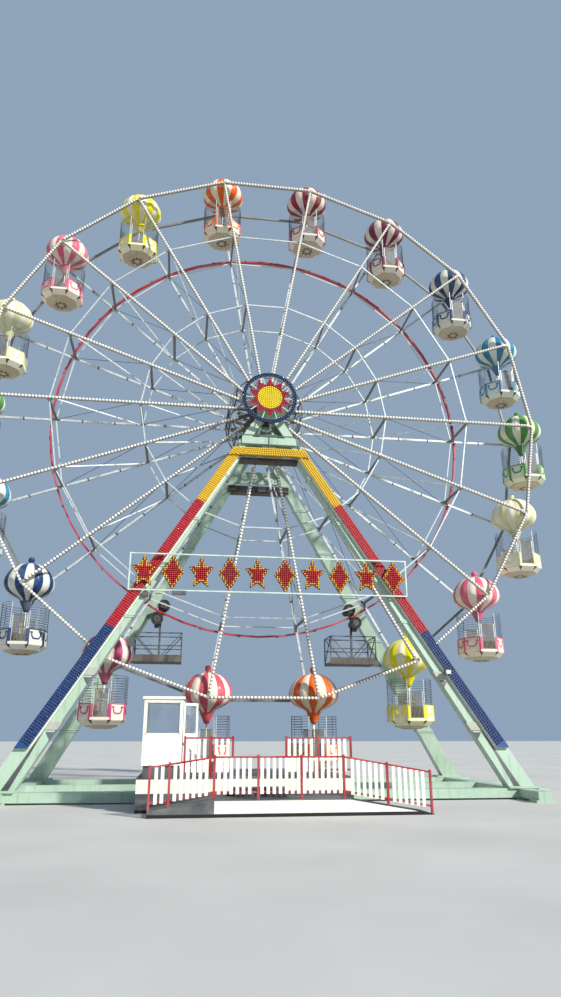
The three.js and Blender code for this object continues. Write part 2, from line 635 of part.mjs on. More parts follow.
// Glazed door leaf, standing half open; its hinge line is its front edge on the outside of the wall
function makeBoothDoor() {
  const leaf = join([box([-DOOR.thick, 5, DOOR.low], [0, DOOR.width, DOOR.high])]);
  const pane = box([-DOOR.thick - 10, 75, 2100], [10, DOOR.width - 70, DOOR.high - 70]);
  const mesh = addMesh('booth_door', toGeometry(cut(leaf, [pane])), 'white', group, 0.5, 0);
  mesh.rotation.z = -DOOR.open;
  mesh.position.set(BOOTH.x1 + 20, DOOR.y, 0);
}

// Picket fences: posts on the floor, a top rail and a bottom rail; stretches join at the posts
function fence(stretches, y, floor, more = []) {
  const parts = [...more];
  for (const posts of stretches) {
    posts.forEach((x) => {
      const low = Math.max(floor(x - 30), floor(x + 30)) + GAP;
      parts.push(box([x - 30, y - 30, low], [x + 30, y + 30, floor(x) + FENCE_HEIGHT]));
    });
    posts.slice(1).forEach((x, index) => {
      const before = posts[index];
      for (const rise of [190, FENCE_HEIGHT - 60]) {
        const up = new THREE.Vector3(0, 0, 1);
        parts.push(bar([before, y, floor(before) + rise], [x, y, floor(x) + rise], 30, 50, up));
      }
    });
  }
  return toGeometry(join(parts));
}

function makeFences() {
  const frontPosts = [-3815, -3300, -2120, -937, 234, 1405, 2622, 3840];
  const front = fence([frontPosts], WALKWAY_FRONT + 35, walkwayHeight);
  addMesh('walkway_fence', front, 'red', group, 0.45, 0.1);
  const y = DECK_FRONT + 60;
  const left = [BOOTH.x1 + 85, -2175, STEP_LEFT - 40];
  const right = [STEP_RIGHT + 42, 958, DECK_RIGHT - 37];
  const sole = box([left[0], y - 30, UPPER_DECK + GAP], [right[2], y + 30, UPPER_DECK + 8]);
  const upper = fence([left, right], y, () => UPPER_DECK, [sole]);
  addMesh('deck_fence', upper, 'red', group, 0.45, 0.1);
}

makeHub();
for (let index = 0; index < GONDOLAS; index += 1) {
  makeSpoke(index);
}
makeRims();
makeTieRings();
makeDriveRing();
makeGondolas();
makeFrame('front_frame', -1);
makeFrame('rear_frame', 1);
makeLightPanels();
makeStarDisc();
makeSign();
makeDrive('left', -1);
makeDrive('right', 1);
makeBaseFrame();
makeDeck();
makeBooth();
makeBoothDoor();
makeFences();

export default group;
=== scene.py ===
import itertools
import math

import bmesh
import bpy
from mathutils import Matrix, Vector


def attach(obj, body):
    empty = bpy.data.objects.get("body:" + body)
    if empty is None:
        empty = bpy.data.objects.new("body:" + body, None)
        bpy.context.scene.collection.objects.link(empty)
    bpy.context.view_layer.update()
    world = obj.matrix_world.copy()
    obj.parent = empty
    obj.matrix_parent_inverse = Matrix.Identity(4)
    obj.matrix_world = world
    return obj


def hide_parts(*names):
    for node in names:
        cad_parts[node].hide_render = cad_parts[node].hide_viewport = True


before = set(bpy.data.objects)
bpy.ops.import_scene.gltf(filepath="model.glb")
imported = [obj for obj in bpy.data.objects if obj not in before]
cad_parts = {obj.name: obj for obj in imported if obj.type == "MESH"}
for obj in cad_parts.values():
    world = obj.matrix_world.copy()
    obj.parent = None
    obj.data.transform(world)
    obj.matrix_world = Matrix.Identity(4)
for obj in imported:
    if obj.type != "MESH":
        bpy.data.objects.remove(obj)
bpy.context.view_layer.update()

# Sizes that the solids use too, in metres; heights called from the hub count up from its centre
HUB_Z = 15.2
RIM, PIVOT = 12.0, 11.94
PLANE, CHORD = 1.11, 0.09  # the spokes' chords: their distance from the middle, and their size
COUNT, GORES = 18, 16  # gondolas, and gores of a balloon
STEP = 2 * math.pi / COUNT
TIES = {-1: (5.28, 8.97), 1: (5.26, 9.02)}
DRIVE_RING, DRIVE_Y = 9.26, 1.28
RING_RADIAL, RING_AXIAL = 0.035, 0.08
TYRE, DRIVE_ANGLE = 0.25, math.radians(26)
LEG_SPREAD, LEG_LEAN = 0.606, 0.125
KNEE_Z, KNEE_X, KNEE_Y = -2.36, 1.48, 2.18  # top of the legs, z from the hub
LEG_WIDTH = {-1: (0.52, 0.033), 1: (0.44, 0.02)}  # width at the knee, and growth per metre down
PANEL_WIDTH, PANEL_THICK, PANEL_LOW = 0.435, 0.13, -13.54
UPPER_DECK, WALKWAY = 0.91, 0.425
WALKWAY_FRONT, DECK_FRONT = -8.1, -6.76
FRONT_POSTS = [-3.81, -3.3, -2.12, -0.937, 0.234, 1.405, 2.622, 3.84]
DECK_POSTS = [-2.915, -2.175, -1.535, 0.017, 0.958, 1.938]
RAMPS = [(-3.85, 0.165), (-2.12, WALKWAY), (1.405, WALKWAY), (3.9, 0.012)]

# Where colours change, and the faces that bulbs stand on
HUB_SHADE_RADIUS = 1.36  # radius inside which the spokes are darker, as painted shade of the hub
STRUTS, STRUT_REACH = (5.27, 8.995), 0.12
RING_INNER = 9.14
RAIL_Y, RAIL_LOW, RAIL_HIGH = 2.195, -2.64, -1.6
RED_TOP, BLUE_TOP = -4.65, -9.57  # on the light boards, from the hub
BOARD_CORNER, BOARD_FACE = -2.61, -2.418
SUN_DROP, SUN_CHANGES, SUN_BACK, SUN_FACE = 0.04, (0.5, 0.868, 0.965), -2.405, -2.435
SIGN_HALF, SIGN_HEIGHTS, SIGN_MIDDLE, SIGN_FACE = 5.06, (-8.224, -6.946), -7.585, -3.128
SIGN_FIRST, SIGN_STEP = -4.585, 9.17 / 9  # x of the first shape, and the distance to the next
BULB_PITCH, BOARD_PITCH, SIGN_PITCH = 0.134, 0.088, 0.072


# Colours and node helpers
def rgb(text):
    """Linear colour of an sRGB hex."""
    parts = [int(text[i : i + 2], 16) / 255 for i in (0, 2, 4)]
    return tuple(c / 12.92 if c <= 0.04045 else ((c + 0.055) / 1.055) ** 2.4 for c in parts) + (1.0,)


def grey(value):
    return (value, value, value, 1.0)


def tinted(one, two, share):
    """An sRGB hex with a share of a second one in it."""
    pairs = [(int(one[i : i + 2], 16), int(two[i : i + 2], 16)) for i in (0, 2, 4)]
    return "".join(f"{round(a * (1 - share) + b * share):02x}" for a, b in pairs)


def add(tree, kind, inputs=None, **settings):
    """A node with its settings; an input takes a plain value or another node's output."""
    made = tree.nodes.new(kind)
    for key, value in settings.items():
        setattr(made, key, value)
    for key, value in (inputs or {}).items():
        if isinstance(value, bpy.types.NodeSocket):
            tree.links.new(value, made.inputs[key])
        else:
            made.inputs[key].default_value = value
    return made


class Coat:
    """A material in the making: its nodes, its shader and the object's coordinates."""

    def __init__(self, name, **settings):
        self.made = bpy.data.materials.new(name)
        self.made.use_nodes = True
        self.made.node_tree.nodes.clear()
        plain = {key.replace("_", " "): value for key, value in settings.items()}
        self.shader = self.add("ShaderNodeBsdfPrincipled", plain)
        self.add("ShaderNodeOutputMaterial", {"Surface": self.shader.outputs[0]})
        self.place = self.add("ShaderNodeTexCoord").outputs["Object"]

    def add(self, kind, inputs=None, **settings):
        return add(self.made.node_tree, kind, inputs, **settings)

    def link(self, value, socket):
        self.made.node_tree.links.new(value, self.shader.inputs[socket])

    def calc(self, operation, *values):
        return self.add("ShaderNodeMath", dict(enumerate(values)), operation=operation).outputs[0]

    def vector(self, operation, *values):
        return self.add("ShaderNodeVectorMath", dict(enumerate(values)), operation=operation).outputs

    def below(self, value, limit):
        return self.calc("LESS_THAN", value, limit)

    def above(self, value, limit):
        return self.calc("GREATER_THAN", value, limit)

    def both(self, one, two):
        return self.calc("MULTIPLY", one, two)

    def band(self, value, low, high):
        """1 where the value lies between low and high, else 0."""
        return self.both(self.above(value, low), self.below(value, high))

    def axes(self):
        outputs = self.add("ShaderNodeSeparateXYZ", {"Vector": self.place}).outputs
        return [outputs[key] for key in "XYZ"]

    def hub_radius(self, drop=0.0):
        """Distance from the axle, or from a line that lies a little below it."""
        flat = self.vector("ADD", self.place, (0, 0, drop - HUB_Z))[0]
        return self.vector("LENGTH", self.vector("MULTIPLY", flat, (1, 0, 1))[0])["Value"]

    def leg_place(self):
        """How far a point lies back from the face of a leg, and its height from the hub."""
        x, y, z = self.axes()
        height = self.calc("SUBTRACT", z, HUB_Z)
        face = self.calc("MULTIPLY_ADD", height, -LEG_LEAN, KNEE_Y + LEG_LEAN * KNEE_Z)
        return self.calc("SUBTRACT", face, self.calc("ABSOLUTE", y)), height

    def mix(self, factor, first, second):
        return self.add("ShaderNodeMix", {"Factor": factor, 6: first, 7: second}, data_type="RGBA").outputs[2]

    def ramp(self, value, stops, mode="LINEAR"):
        """Colour ramp through (position, colour) stops; a colour is a hex or linear."""
        made = self.add("ShaderNodeValToRGB", {"Fac": value})
        made.color_ramp.interpolation = mode
        while len(made.color_ramp.elements) < len(stops):
            made.color_ramp.elements.new(1.0)
        for element, (position, colour) in zip(made.color_ramp.elements, stops):
            element.position = position
            element.color = rgb(colour) if isinstance(colour, str) else colour
        return made.outputs["Color"]

    def noise(self, scale, detail=3.0, stretch=(1, 1, 1)):
        where = self.add("ShaderNodeMapping", {"Vector": self.place, "Scale": stretch}).outputs[0]
        return self.add("ShaderNodeTexNoise", {"Vector": where, "Scale": scale, "Detail": detail}).outputs["Fac"]

    def clouds(self, scale, low, high, amount=1.0, **more):
        """Soft patches, from 0 where the noise is low to an amount where it is high."""
        return self.ramp(self.noise(scale, **more), [(low, grey(0)), (high, grey(amount))])

    def weathered(self, colour, dirt, amount):
        """Paint colour with cloudy fading, and dirt that has run down in streaks."""
        faded = self.mix(self.clouds(1.1, 0.35, 0.7), rgb(colour), self.mix(0.12, rgb(colour), grey(0.9)))
        streak = self.clouds(2.2, 0.52, 0.78, amount, detail=4, stretch=(3, 3, 0.35))
        return self.mix(streak, faded, rgb(dirt))

    def bump(self, height, strength, distance):
        made = self.add("ShaderNodeBump", {"Height": height, "Strength": strength, "Distance": distance})
        self.link(made.outputs[0], "Normal")

    def finish(self, colour, rough=None, spread=0.12, grain=40.0, height=0.02):
        """Puts the colour in, with a fine grain that the roughness follows where one is given."""
        self.link(colour, "Base Color")
        if rough:
            fine = self.noise(grain, 2)
            ends = {"Value": fine, "To Min": rough - spread, "To Max": rough + spread}
            self.link(self.add("ShaderNodeMapRange", ends).outputs[0], "Roughness")
            self.bump(fine, 0.25, height)
        return self.made


# Sprayed steel: faded, streaked, with a slight orange peel
def paint(name, colour, dirt, rough, amount, metal=0.0):
    coat = Coat(name, Metallic=metal)
    return coat.finish(coat.weathered(colour, dirt, amount), rough)


# Hot-dip galvanised steel with its spangle; on the spokes the front chord is grey-brown, partly its dirt and partly
# painted shade between its lit bulbs, the inner ends near the hub are darker as painted shade, and the struts are dark
def galvanised(name, spokes=False):
    coat = Coat(name, Metallic=0.25)
    cell = coat.add("ShaderNodeTexVoronoi", {"Vector": coat.place, "Scale": 14.0}).outputs["Color"]
    value = coat.add("ShaderNodeSeparateColor", {"Color": cell}).outputs[0]
    zinc = coat.ramp(value, [(0.0, "b4bcbd"), (0.5, "c8cfce"), (1.0, "d8dcda")])
    grime = coat.clouds(1.6, 0.5, 0.8, 0.4)
    colour = coat.mix(grime, zinc, rgb("85857f"))
    if spokes:
        depth, reach = coat.axes()[1], coat.hub_radius()
        front = coat.below(depth, -PLANE + CHORD / 2 + 0.004)
        # Front chord: grey-brown, partly dirt and partly painted shade behind the bulbs
        colour = coat.mix(front, colour, coat.mix(grime, rgb("a49c8c"), rgb("7d7567")))
        # Painted shade: the inner ends of the spokes, near the hub, are darker
        colour = coat.mix(coat.below(reach, HUB_SHADE_RADIUS), colour, rgb("5f584e"))
        inner = coat.below(coat.calc("ABSOLUTE", depth), PLANE - CHORD / 2 - 0.002)
        for strut in STRUTS:
            near = coat.band(reach, strut - STRUT_REACH, strut + STRUT_REACH)
            colour = coat.mix(coat.both(near, inner), colour, rgb("6c6a63"))
    return coat.finish(colour, 0.5, 0.1, 25.0, 0.005)


# Gloss fibreglass of the gondolas, chalked a little by the sun
def fibreglass(name, colour):
    coat = Coat(name, Specular_IOR_Level=0.15, Coat_Weight=0.08, Coat_Roughness=0.15)
    chalky = coat.mix(coat.clouds(2.4, 0.4, 0.75, 0.14), rgb(colour), rgb("e8e0d2"))
    return coat.finish(chalky, 0.45, 0.08, 12.0, 0.004)


# Coloured plastic caps of the bulbs, dusty at random
def bulb_cap(name, colour):
    coat = Coat(name, Coat_Weight=0.15)
    dusty = coat.mix(0.3, rgb(colour), grey(0.75))
    return coat.finish(coat.mix(coat.clouds(9.0, 0.4, 0.7, 0.25), rgb(colour), dusty), 0.42, 0.06, 30.0, 0.001)


# Red gloss paint of the drive ring; the tie ring that carries it is galvanised
coat = Coat("drive_ring_red_paint")
red = coat.weathered("b01c2c", "4a1620", 0.3)
RING_RED = coat.finish(coat.mix(coat.above(coat.hub_radius(), RING_INNER), rgb("c4cbca"), red), 0.35)

# Mint gloss paint of the A-frames, with darker railings on the service platforms
coat = Coat("mint_gloss_paint")
back, height = coat.leg_place()
ahead = coat.above(coat.calc("ABSOLUTE", coat.axes()[1]), RAIL_Y)
rails = coat.both(coat.band(height, RAIL_LOW, RAIL_HIGH), coat.both(ahead, coat.below(back, -0.02)))
MINT = coat.finish(coat.mix(rails, coat.weathered("a9c3ac", "5f6a59", 0.35), rgb("4c6656")), 0.4)

# Board behind the bulbs of the front legs: yellow at the top, then red, then blue, with white edges
coat = Coat("light_board_paint")
back, height = coat.leg_place()
drop = 20.0  # height that the ramp spans, below the hub
part = coat.add("ShaderNodeMapRange", {"Value": height, "From Min": -drop, "From Max": 0.0}).outputs[0]
stops = [(0.0, "1c4680"), (1 + BLUE_TOP / drop, "981c28"), (1 + RED_TOP / drop, "c89a14")]
colour = coat.mix(coat.clouds(1.8, 0.45, 0.8, 0.35), coat.ramp(part, stops, "CONSTANT"), rgb("4a3c38"))
front = coat.calc("MAXIMUM", coat.below(back, 0.004 - PANEL_THICK), coat.above(height, BOARD_CORNER))
BOARD = coat.finish(coat.mix(front, rgb("e9e8d8"), colour), 0.4)

# Colours of the sunburst by distance from its centre; the struts behind it are mint
coat = Coat("sunburst_paint")
reach = coat.hub_radius(SUN_DROP)
points, mint, edge = SUN_CHANGES
stops = [(0.0, "d8b400"), (points, "6a0a24"), (mint, "b4ccba"), (edge, "03102a")]
behind = coat.both(coat.above(coat.axes()[1], SUN_BACK), coat.below(reach, edge))
colour = coat.mix(behind, coat.ramp(reach, stops, "CONSTANT"), rgb("b4ccba"))
SUN = coat.finish(coat.mix(coat.clouds(5.0, 0.45, 0.8, 0.3), colour, rgb("2c2420")), 0.4)

# Sign: dark red shapes between light rails
coat = Coat("sign_paint")
x, y, z = coat.axes()
low, high = SIGN_HEIGHTS
shapes = coat.both(coat.band(coat.calc("SUBTRACT", z, HUB_Z), low, high), coat.band(x, -SIGN_HALF, SIGN_HALF))
colour = coat.mix(shapes, rgb("cfe0d2"), rgb("6a1019"))
SIGN = coat.finish(coat.mix(coat.clouds(3.0, 0.45, 0.8, 0.35), colour, rgb("2c2420")), 0.4)

# Loading deck: tread plate with raised lozenges, and white skirts on the faces that look to the front
coat = Coat("steel_tread_plate", Roughness=0.6, Metallic=0.2)
worn = coat.ramp(coat.noise(1.3, 5), [(0.4, "4b4e50"), (0.7, "7d8080")])
x, y, z = coat.axes()
level = coat.both(coat.band(x, -2.1, 3.9), coat.band(z, 0.09, 0.4))
skirt = coat.both(coat.below(y, WALKWAY_FRONT + 0.002), level)
riser = coat.both(coat.band(y, DECK_FRONT - 0.002, DECK_FRONT + 0.002), coat.band(z, 0.5, 0.87))
colour = coat.mix(coat.calc("MAXIMUM", skirt, riser), worn, rgb("efeee0"))
turned = {"Vector": coat.place, "Rotation": (0, 0, 0.785), "Scale": (22, 22, 22)}
lattice = {"Vector": coat.add("ShaderNodeMapping", turned).outputs[0], "Randomness": 0.0}
check = coat.add("ShaderNodeTexVoronoi", lattice).outputs["Distance"]
coat.bump(coat.ramp(check, [(0.2, grey(1)), (0.34, grey(0))]), 0.4, 0.004)
# Near-black below 8.5 cm: painted shade along the foot of the deck
TREAD = coat.finish(coat.mix(coat.below(z, 0.085), colour, rgb("1d1c1a")))

# Rubber of the drive tyres, dusty at the tread
coat = Coat("tyre_rubber")
RUBBER = coat.finish(coat.ramp(coat.noise(7.0), [(0.4, "161617"), (0.75, "3a3735")]), 0.8, 0.1, 60.0, 0.003)

# Window glass of the booth, with a faint smear
coat = Coat("booth_glass", Roughness=0.06, Transmission_Weight=0.9, IOR=1.45, Alpha=0.35)
GLASS = coat.finish(coat.ramp(coat.noise(3.0), [(0.4, "dfe8ea"), (0.8, "c3ccd0")]))

# Pale matt floor of the studio
coat = Coat("pale_floor", Roughness=0.9)
FLOOR = coat.finish(coat.ramp(coat.noise(0.25), [(0.3, "b9b8b3"), (0.7, "c6c5c0")]))

GONDOLA_HEX = {
    "maroon": "8e2440", "plum": "7a2c48", "navy": "1f3f6b", "teal": "2f7fa6", "green": "4f8c3f", "cream": "dcd9a6",
    "pink": "d9647e", "yellow": "e9df12", "orange": "e0611a", "salmon": "d0505e", "rose": "b4486c",
}
CYCLE = list(GONDOLA_HEX)[:9]  # in their order round the wheel
OWN_TINT = {10: "salmon", 11: "rose"}
CAP_KINDS = {  # hex and slot of each colour of bulb
    "white": ("fffbf0", "white_paint"), "yellow": ("e4c000", "light_panel_yellow"), "red": ("c20c20", "red_paint"),
    "blue": ("082c60", "dark_steel"), "lemon": ("f8e81c", "light_panel_yellow"), "crimson": ("c01040", "red_paint"),
    "navy": ("0c4488", "dark_steel"),
}

MINT_TRIM = paint("mint_paint_of_trim", "b4cfbb", "6f7a66", 0.42, 0.25)  # flanges of the legs
GREEN_DARK = paint("dark_green_painted_shade", "3f5f4e", "262c24", 0.5, 0.3)  # painted shade: parts inside the head's opening, and the shadow line beside each board
BROWN = paint("dark_brown_boards_and_painted_shadow", "3c3029", "1d1815", 0.7, 0.4)  # platform boards; on the gondolas, the painted shadow in the corners of the tapers
WHITE = paint("white_gloss_paint", "f4f2e6", "a09a8c", 0.38, 0.15)  # booth, pickets, poles
RED = paint("red_gloss_paint", "a3101c", "40140f", 0.38, 0.25)  # fence posts and rails
HUB_BROWN = paint("grey_brown_wheel_discs", "564c43", "241f1b", 0.6, 0.4, 0.1)  # tyre discs, toe boards
SHADE = paint("tub_lining_painted_shade", "3d3f45", "1f2023", 0.6, 0.3)  # inside of the tubs, dark as painted shade
TAN = paint("tan_fibreglass_underside", "b9a98a", "7a6c54", 0.5, 0.4)  # taper under the tubs
PLATE_GREY = paint("grey_strut_plates_and_painted_rim_shade", "77766f", "46433c", 0.5, 0.35, 0.15)  # gussets, and the rear rim, whose zinc takes this darker grey as painted shade
PRIMER = paint("light_grey_primer", "a8aa9c", "5e5c50", 0.5, 0.4)  # gusset plates, edge of the platform
DARK = paint("dark_grey_steel_paint_and_painted_shade", "44474a", "26221f", 0.5, 0.3, 0.2)  # drives, collars, wires, lamps; also painted shade: the hub cage, the gondolas' cages, the slot under the head beam and the wedge on the legs
ZINC = galvanised("galvanised_steel")  # tie rings, posts, mesh
# Galvanised spokes, with painted shade on the front chords and near the hub
SPOKE_STEEL = galvanised("spoke_galvanised_steel_and_painted_shade", True)
# Fibreglass of each gondola's stripes, and the cream beside them, which takes on a little of their colour
TINTS = {key: fibreglass(key + "_fibreglass", value) for key, value in GONDOLA_HEX.items()}
CREAMS = {key: fibreglass("cream_fibreglass_beside_" + key, tinted("ece7d3", value, 0.1))
          for key, value in GONDOLA_HEX.items()}
GATE_OLIVE = paint("olive_brown_gate_paint", "6b6350", "38332a", 0.5, 0.3, 0.1)  # gates of the tubs
ROSETTE = paint("brown_rosette_paint", "553828", "2e2119", 0.6, 0.35)  # petals under the tubs
CAPS = {key: bulb_cap(key + "_bulb_cap", value) for key, (value, slot) in CAP_KINDS.items()}


# Shapes
class Shape:
    """Vertices and faces of a piece, each face with a material and a smooth flag."""

    def __init__(self):
        self.points, self.faces, self.paints, self.smooth = [], [], [], []

    def add(self, points, faces, paint_index=0, smooth=False):
        base = len(self.points)
        self.points += [tuple(p) for p in points]
        self.faces += [[base + i for i in face] for face in faces]
        self.paints += [paint_index] * len(faces)
        self.smooth += [smooth] * len(faces)

    def hull(self, ends, paint_index=0):
        """A six-sided solid between two four-cornered ends."""
        faces = [(3, 2, 1, 0), (4, 5, 6, 7)] + [(i, (i + 1) % 4, (i + 1) % 4 + 4, i + 4) for i in range(4)]
        self.add(ends[0] + ends[1], faces, paint_index)

    def box(self, low, high, paint_index=0):
        faces = [(0, 1, 3, 2), (4, 6, 7, 5), (0, 4, 5, 1), (2, 3, 7, 6), (0, 2, 6, 4), (1, 5, 7, 3)]
        self.add(itertools.product(*zip(low, high)), faces, paint_index)

    def wedge(self, ends, paint_index=0):
        """A solid between two three-cornered ends."""
        self.add(ends[0] + ends[1], [(0, 1, 2), (5, 4, 3), (0, 3, 4, 1), (1, 4, 5, 2), (2, 5, 3, 0)], paint_index)

    def bar(self, start, end, width, height, paint_index=0, up=(0, 1, 0)):
        """A rectangular bar; its height lies near up."""
        a, b = Vector(start), Vector(end)
        along = (b - a).normalized()
        side = Vector(up).cross(along).normalized() * width / 2
        rise = along.cross(side).normalized() * height / 2
        ring = [side + rise, rise - side, -side - rise, side - rise]
        self.hull(([a + r for r in ring], [b + r for r in ring]), paint_index)

    def tube(self, start, end, radius, sides=8, paint_index=0, end_radius=None):
        a, b = Vector(start), Vector(end)
        turn = (b - a).to_track_quat("Z", "Y")
        points = []
        for centre, size in ((a, radius), (b, radius if end_radius is None else end_radius)):
            for i in range(sides):
                angle = 2 * math.pi * i / sides
                points.append(centre + turn @ Vector((size * math.cos(angle), size * math.sin(angle), 0)))
        walls = [(i, (i + 1) % sides, (i + 1) % sides + sides, i + sides) for i in range(sides)]
        self.add(points, walls, paint_index, True)
        self.add(points[:sides], [tuple(range(sides))[::-1]], paint_index)
        self.add(points[sides:], [tuple(range(sides))], paint_index)

    def turned(self, profile, sides, centre, paint_of=0, smooth=True, phase=0.0, gore=0.0):
        """A profile of (radius, height) turned about the vertical; paint_of is a number or takes (ring, side)."""
        spokes = []
        for i in range(sides):
            angle = phase + 2 * math.pi * i / sides
            pinch = 1 - gore * (1 - abs(math.sin(GORES * angle / 2)))
            spokes.append((pinch, math.cos(angle), math.sin(angle)))
        rings = [[(centre[0] + radius * p * x, centre[1] + radius * p * y, centre[2] + height) for p, x, y in spokes]
                 for radius, height in profile]
        for row, (one, two) in enumerate(zip(rings, rings[1:])):
            for i in range(sides):
                j = (i + 1) % sides
                corners = [two[i], two[j], one[j], one[i]]
                # Three corners are left where a ring is a point
                corners = [p for k, p in enumerate(corners) if p != corners[k - 1]]
                tint = paint_of(row, i) if callable(paint_of) else paint_of
                self.add(corners, [tuple(range(len(corners)))], tint, smooth)

    def prism(self, outline, low, high, paint_index=0):
        """An outline of (x, z) corners, counterclockwise seen from the front, from y low to y high."""
        count = len(outline)
        points = [(x, low, z) for x, z in outline] + [(x, high, z) for x, z in outline]
        faces = [tuple(range(count)), tuple(range(count, 2 * count))[::-1]]
        faces += [(i, i + count, (i + 1) % count + count, (i + 1) % count) for i in range(count)]
        self.add(points, faces, paint_index)


def place_object(name, data):
    made = bpy.data.objects.new(name, data)
    bpy.context.collection.objects.link(made)
    return made


def settle(name, mesh, body, slot, replaced=()):
    """Places a finished mesh as a piece that rides on a body."""
    made = place_object(name, mesh)
    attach(made, body)
    if replaced:
        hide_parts(*replaced)
    return made


def piece(name, shape, body, slot, paints, replaced=()):
    mesh = bpy.data.meshes.new(name)
    mesh.from_pydata(shape.points, [], shape.faces)
    for material in paints:
        mesh.materials.append(material)
    mesh.polygons.foreach_set("material_index", shape.paints)
    mesh.polygons.foreach_set("use_smooth", shape.smooth)
    work = bmesh.new()
    work.from_mesh(mesh)
    bmesh.ops.remove_doubles(work, verts=work.verts, dist=1e-5)
    work.to_mesh(mesh)
    work.free()
    mesh.update()
    return settle(name, mesh, body, slot, replaced)


# Geometry Nodes
def new_tree(name, sockets):
    tree = bpy.data.node_groups.new(name, "GeometryNodeTree")
    tree.interface.new_socket("Geometry", in_out="INPUT", socket_type="NodeSocketGeometry")
    for label, kind in sockets:
        tree.interface.new_socket(label, in_out="INPUT", socket_type="NodeSocket" + kind)
    tree.interface.new_socket("Geometry", in_out="OUTPUT", socket_type="NodeSocketGeometry")
    return tree, add(tree, "NodeGroupInput").outputs


def close_tree(tree, shape, source, smooth=True):
    real = add(tree, "GeometryNodeRealizeInstances", {"Geometry": shape}).outputs[0]
    shaded = add(tree, "GeometryNodeSetShadeSmooth", {"Geometry": real, "Shade Smooth": smooth}).outputs[0]
    done = add(tree, "GeometryNodeSetMaterial", {"Geometry": shaded, "Material": source["Material"]}).outputs[0]
    add(tree, "NodeGroupOutput", {"Geometry": done})
    return tree


def bulb_tree():
    """A bulb on each point, its tip towards the front."""
    sockets = [("Radius", "Float"), ("Length", "Vector"), ("Material", "Material")]
    tree, source = new_tree("bulbs_on_points", sockets)
    ball = add(tree, "GeometryNodeMeshUVSphere", {"Segments": 7, "Rings": 4, "Radius": source["Radius"]})
    tipped = add(tree, "GeometryNodeTransform",
                 {"Geometry": ball.outputs[0], "Rotation": (math.pi / 2, 0, 0), "Scale": source["Length"]})
    many = add(tree, "GeometryNodeInstanceOnPoints", {"Points": source["Geometry"], "Instance": tipped.outputs[0]})
    return close_tree(tree, many.outputs[0], source)


def slat_tree():
    """An upright slat on each point, standing on it."""
    tree, source = new_tree("slats_on_points", [("Size", "Vector"), ("Material", "Material")])
    slat = add(tree, "GeometryNodeMeshCube", {"Size": source["Size"]}).outputs[0]
    half = add(tree, "ShaderNodeVectorMath", {0: source["Size"], 1: (0, 0, 0.5)}, operation="MULTIPLY").outputs[0]
    raised = add(tree, "GeometryNodeTransform", {"Geometry": slat, "Translation": half}).outputs[0]
    many = add(tree, "GeometryNodeInstanceOnPoints", {"Points": source["Geometry"], "Instance": raised})
    return close_tree(tree, many.outputs[0], source, False)


def wire_tree():
    """A round wire along each edge line."""
    tree, source = new_tree("wires_on_edges", [("Radius", "Float"), ("Sides", "Int"), ("Material", "Material")])
    lines = add(tree, "GeometryNodeMeshToCurve", {"Mesh": source["Geometry"]}).outputs[0]
    size = {"Resolution": source["Sides"], "Radius": source["Radius"]}
    ring = add(tree, "GeometryNodeCurvePrimitiveCircle", size)
    wires = add(tree, "GeometryNodeCurveToMesh",
                {"Curve": lines, "Profile Curve": ring.outputs[0], "Fill Caps": True}).outputs[0]
    return close_tree(tree, wires, source)


BULBS, SLATS, WIRES = bulb_tree(), slat_tree(), wire_tree()


def grow(name, tree, points, edges, body, slot, **values):
    """Runs a tree over points or edge lines, and keeps the result as a plain mesh."""
    seed = bpy.data.meshes.new(name + "_seed")
    seed.from_pydata(points, edges, [])
    base = place_object(name + "_seed", seed)
    modifier = base.modifiers.new("nodes", "NODES")
    modifier.node_group = tree
    for item in tree.interface.items_tree:
        if item.in_out == "INPUT" and item.name in values:
            modifier[item.identifier] = values[item.name]
    graph = bpy.context.evaluated_depsgraph_get()
    mesh = bpy.data.meshes.new_from_object(base.evaluated_get(graph))
    mesh.name = name
    bpy.data.objects.remove(base)
    return settle(name, mesh, body, slot)


class Lines:
    """Points and edges of wires."""

    def __init__(self):
        self.points, self.edges = [], []

    def path(self, points):
        base = len(self.points)
        self.points += [tuple(p) for p in points]
        self.edges += [(base + i, base + i + 1) for i in range(len(points) - 1)]


def bulbs(name, points, body, cap, radius, length):
    return grow(name, BULBS, points, [], body, CAP_KINDS[cap][1],
                Radius=radius, Length=(1, 1, length), Material=CAPS[cap])


def base_bulbs(name, spots, radius, length):
    """Bulbs of several colours on a board that stands still."""
    for colour, points in spots.items():
        bulbs(f"{name}_bulbs_{colour}", points, "base", colour, radius, length)


def around(radius, angle, y):
    """A point of the wheel: its distance from the hub, its angle from the top, and its y."""
    return Vector((radius * math.sin(angle), y, HUB_Z + radius * math.cos(angle)))


def spoke_angle(index):
    return (index + 0.5) * STEP


def leg_x(z):
    return KNEE_X + LEG_SPREAD * (KNEE_Z - z)


def leg_y(z):
    return KNEE_Y + LEG_LEAN * (KNEE_Z - z)


def leg_width(depth, z):
    knee, growth = LEG_WIDTH[depth]
    return knee + growth * (KNEE_Z - z)


def on_leg(side, depth, inset, out, z):
    """A point of a leg: inset from its outer edge, out from its face, at a height from the hub."""
    return Vector((side * (leg_x(z) - inset), depth * (leg_y(z) + out), z + HUB_Z))


def leg_slab(shape, side, depth, rows, outs, paint_index=0):
    """A slab across a leg, between two rows of (height, near inset, far inset) and two distances out."""
    front, back = outs
    ends = [[on_leg(side, depth, inset, out, z) for inset, out in
             ((near, front), (far, front), (far, back), (near, back))] for z, near, far in rows]
    shape.hull(ends, paint_index)


# Materials of the solids that stay in view
def dress(names, material):
    for name in names:
        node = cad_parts[name]
        node.data.materials.clear()
        node.data.materials.append(material)


